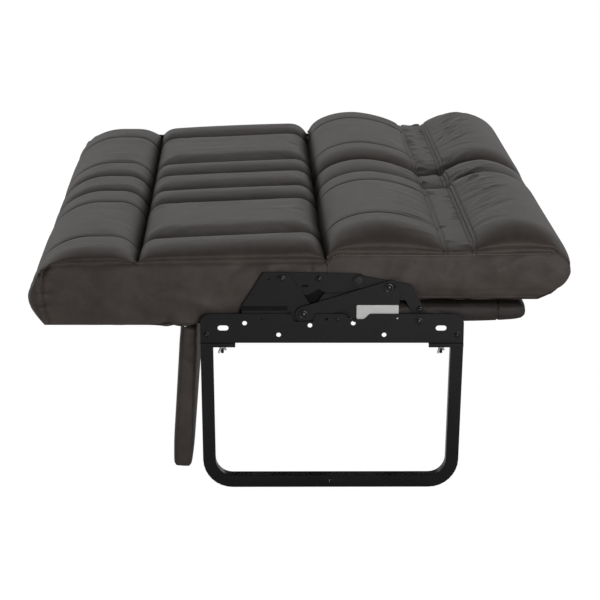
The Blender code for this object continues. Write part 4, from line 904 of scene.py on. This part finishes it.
def stitch_row(sewing, surface, starts, heading, thick):
    """Adds a stitch at each point where a ray from outside meets the cover."""
    hits = [surface.ray_cast(Vector(start), Vector(heading)) for start in starts]
    hits = [(hit, normal) for hit, normal, _, _ in hits if hit]
    row = bmesh.new()
    for (hit, normal), (after, _) in zip(hits, hits[1:]):
        run = (after - hit).normalized()
        aside = normal.cross(run).normalized()
        lie = Matrix((aside, run.cross(aside), run)).transposed().to_4x4()
        size = Matrix.Diagonal((thick / 2, thick / 2, STITCH_LENGTH / 2, 1.0))
        bmesh.ops.create_uvsphere(row, u_segments=6, v_segments=4, radius=1.0,
                                  matrix=Matrix.Translation(hit + normal * thick * 0.12) @ lie @ size)
    sewn = bpy.data.meshes.new("sewn_row")
    row.to_mesh(sewn)
    row.free()
    sewing.from_mesh(sewn)
    bpy.data.meshes.remove(sewn)


sewn_faces = [tuple(face.vertices) for face in back_cushion.data.polygons]
surface = BVHTree.FromPolygons([tuple(point) for point in points], sewn_faces)
bm = bmesh.new()
for line in (BAND_FRONT, BAND_REAR):
    for row in STITCH_ROWS:
        starts = [(px, line + row, CLEAR_ABOVE) for px in np.arange(*BAND_RUN, STITCH_PITCH)]
        stitch_row(bm, surface, starts, heading=(0, 0, -1), thick=BAND_THREAD)
for side in (-1, 1):
    run_y = np.arange(*END_RUN, STITCH_PITCH)
    run_z = np.interp(run_y, *zip(*END_STITCHES))
    starts = [(side * CLEAR_ASIDE, py, pz) for py, pz in zip(run_y, run_z)]
    stitch_row(bm, surface, starts, heading=(-side, 0, 0), thick=END_THREAD)
topstitching = piece_from(bm, "back_topstitching", bonded_thread)
topstitching.data.shade_smooth()
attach(topstitching, "back")
for piece in (back_cushion, topstitching):
    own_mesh(piece)

# Back board: a plywood panel wrapped in leatherette over thin foam, screwed to the back's frame.
# It is the sofa's rear face when the back stands up, and lies underneath here.
BOARD_SEAM, BOARD_SAG = 0.395, 0.0065
SLAB_PITCH, SLAB_ROW = 0.016, 0.012
board_low, board_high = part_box("back_board")
across = stations([board_low.x, -0.40, 0.40, board_high.x], SLAB_PITCH)
along = stations([board_low.y, BOARD_SEAM, board_high.y], SLAB_ROW)
back_board, block = cut_cover("back_board_cover", across, along, levels=np.linspace(0, 1, 7))


def wrapped_panel(block, low, high, corner, swell):
    """Rounded slab between two corners, swelling a little between its edges."""
    middle = (np.array(low) + np.array(high)) / 2
    half = (np.array(high) - np.array(low)) / 2
    shape = np.stack([block[:, 0], block[:, 1], low[2] + (high[2] - low[2]) * block[:, 2]], axis=1) - middle
    core = np.clip(shape, -(half - corner), half - corner)
    rim = shape - core
    length = np.linalg.norm(rim, axis=1, keepdims=True)
    rim = np.where(length > 1e-9, rim / np.maximum(length, 1e-9), 0) * np.minimum(length, corner)
    rounded = core + rim
    from_edge = half - np.abs(shape)
    inset = ramp(from_edge[:, 1], 0, 0.06) * ramp(from_edge[:, 0], 0, 0.06)
    rounded[:, 2] += np.sign(shape[:, 2]) * (from_edge[:, 2] < TOUCH) * swell * (inset**0.5 - 1)
    return middle + rounded


place_points(back_board.data, wrapped_panel(block, board_low, board_high, corner=0.0165, swell=0.002))
points, block = smoothed(back_board)
x, y, level = block.T
points[:, 2] -= BOARD_SAG * swag(y, board_low.y + 0.02, board_high.y) ** 0.7 * (1 - level)
normals = outward(back_board.data)
sink, lift = groove(y - BOARD_SEAM, depth=0.0020, width=0.0016), np.zeros(len(x))
side_face = points[:, 1:].copy()
at_end = groove(board_high.x - np.abs(x), depth=1.0, width=0.05)
for number in range(14):
    left = rng.uniform(0.20, 0.42)
    lift += at_end * either_way(0.0005, 0.0014) * crease(
        side_face, (left, rng.uniform(0.35, 0.38)),
        (left + rng.uniform(0.02, 0.06), rng.uniform(0.35, 0.38)), width=0.003)
points += normals * (lift - sink)[:, None]
points[:, 0] = np.clip(points[:, 0], board_low.x, board_high.x)
# A darker copy of the same leatherette: painted shade, as the board lies in shadow under the back.
board_cover = leatherette_finish("board_leatherette_painted_shade", (0.0150, 0.0119, 0.0105), (0.0238, 0.0193, 0.0170))
upholstered(back_board, points, board_cover, "back", "back_board")

# Painted shade: a sleeve of the black dust cloth round the back's frame where it stands clear between pad
# and board, so that the gap reads as a dark shadow.
# It is a thin layer of wadding that puckers a little between the staples.
SLEEVE_SIZE, SLEEVE_MIDDLE = (1.382, 0.286, 0.0052), (0.0, 0.3010, 0.38725)
SLEEVE_PUCKER, END_WAVES, SIDE_WAVES = 0.0012, 170.0, 90.0
bm = bmesh.new()
bmesh.ops.create_cube(bm, size=1.0)
bmesh.ops.scale(bm, verts=bm.verts, vec=SLEEVE_SIZE)
bmesh.ops.translate(bm, verts=bm.verts, vec=SLEEVE_MIDDLE)
runs = [e for e in bm.edges if abs(e.verts[0].co.z - e.verts[1].co.z) < TOUCH]
bmesh.ops.subdivide_edges(bm, edges=runs, cuts=28, use_grid_fill=True)
for vert in bm.verts:
    from_middle = vert.co.y - SLEEVE_MIDDLE[1]
    if abs(vert.co.x) > 0.690:
        vert.co.x -= SLEEVE_PUCKER * (1 + np.sin(vert.co.y * END_WAVES)) * np.sign(vert.co.x)
    if abs(from_middle) > 0.142:
        vert.co.y -= SLEEVE_PUCKER * (1 + np.sin(vert.co.x * SIDE_WAVES)) * np.sign(from_middle)
# The sleeve stands in for the shadow in the gap between pad and board.
painted_shade_sleeve = piece_from(bm, "painted_shade_sleeve", dust_cloth)
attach(painted_shade_sleeve, "back")

# Front panel: a padded plywood panel that hangs on a strip hinge below the seat and hides the store.
# Its leatherette is pulled round the edges and stapled behind, so it folds a little at the corners.
PANEL_LEAN, HINGE_AXIS = radians(3.5), np.array((0.0, -0.232, 0.332))
PANEL_LOW, PANEL_HIGH = (-0.700, 0.0325, -0.2420), (0.700, 0.3290, -0.2027)  # across, up, to the rear
PANEL_FULL, PANEL_LIP = 0.0050, 0.0055
across = stations([PANEL_LOW[0], -0.35, 0.35, PANEL_HIGH[0]], SLAB_PITCH)
along = stations([PANEL_LOW[1], PANEL_LOW[1] + 0.040, PANEL_HIGH[1]], SLAB_ROW)
front_panel, block = cut_cover("front_panel_cover", across, along, levels=np.linspace(0, 1, 7))
place_points(front_panel.data, wrapped_panel(block, PANEL_LOW, PANEL_HIGH, corner=0.011, swell=0.004))
points, block = smoothed(front_panel)
normals = outward(front_panel.data)
x, y, level = block.T
lift = np.zeros(len(x))
flat = np.stack([x, y], axis=1)
for number in range(50):
    start_x = rng.uniform(-0.69, 0.69)
    lift += either_way(0.0004, 0.0012) * crease(
        flat, (start_x, 0.325), (start_x + rng.uniform(-0.03, 0.03), rng.uniform(0.20, 0.28)),
        width=rng.uniform(0.004, 0.010))
side_face = points[:, 1:].copy()
at_end = groove(PANEL_HIGH[0] - np.abs(x), depth=1.0, width=0.05)
for number in range(18):
    low = rng.uniform(0.24, 0.325)
    lift += at_end * either_way(0.0005, 0.0013) * crease(
        side_face, (low, -0.238), (low + rng.uniform(-0.03, 0.03), -0.204), width=rng.uniform(0.003, 0.006))
points += normals * lift[:, None]
points[:, 2] += PANEL_FULL * level * ramp(y, 0.300, 0.060)
points[:, 1] += PANEL_LIP * ramp(y, 0.300, 0.325) * ramp(level, 0.18, 0)
turn = np.array(Matrix.Rotation(-PANEL_LEAN, 3, "X"))
points = (points[:, [0, 2, 1]] - HINGE_AXIS) @ turn.T + HINGE_AXIS
front_panel.data.flip_normals()
panel_cover = leatherette_finish("panel_leatherette", (0.0330, 0.0262, 0.0230), (0.0520, 0.0420, 0.0368))
upholstered(front_panel, points, panel_cover, "front_panel", "front_panel")
dress(zinc_plate, "front_panel_hinge")
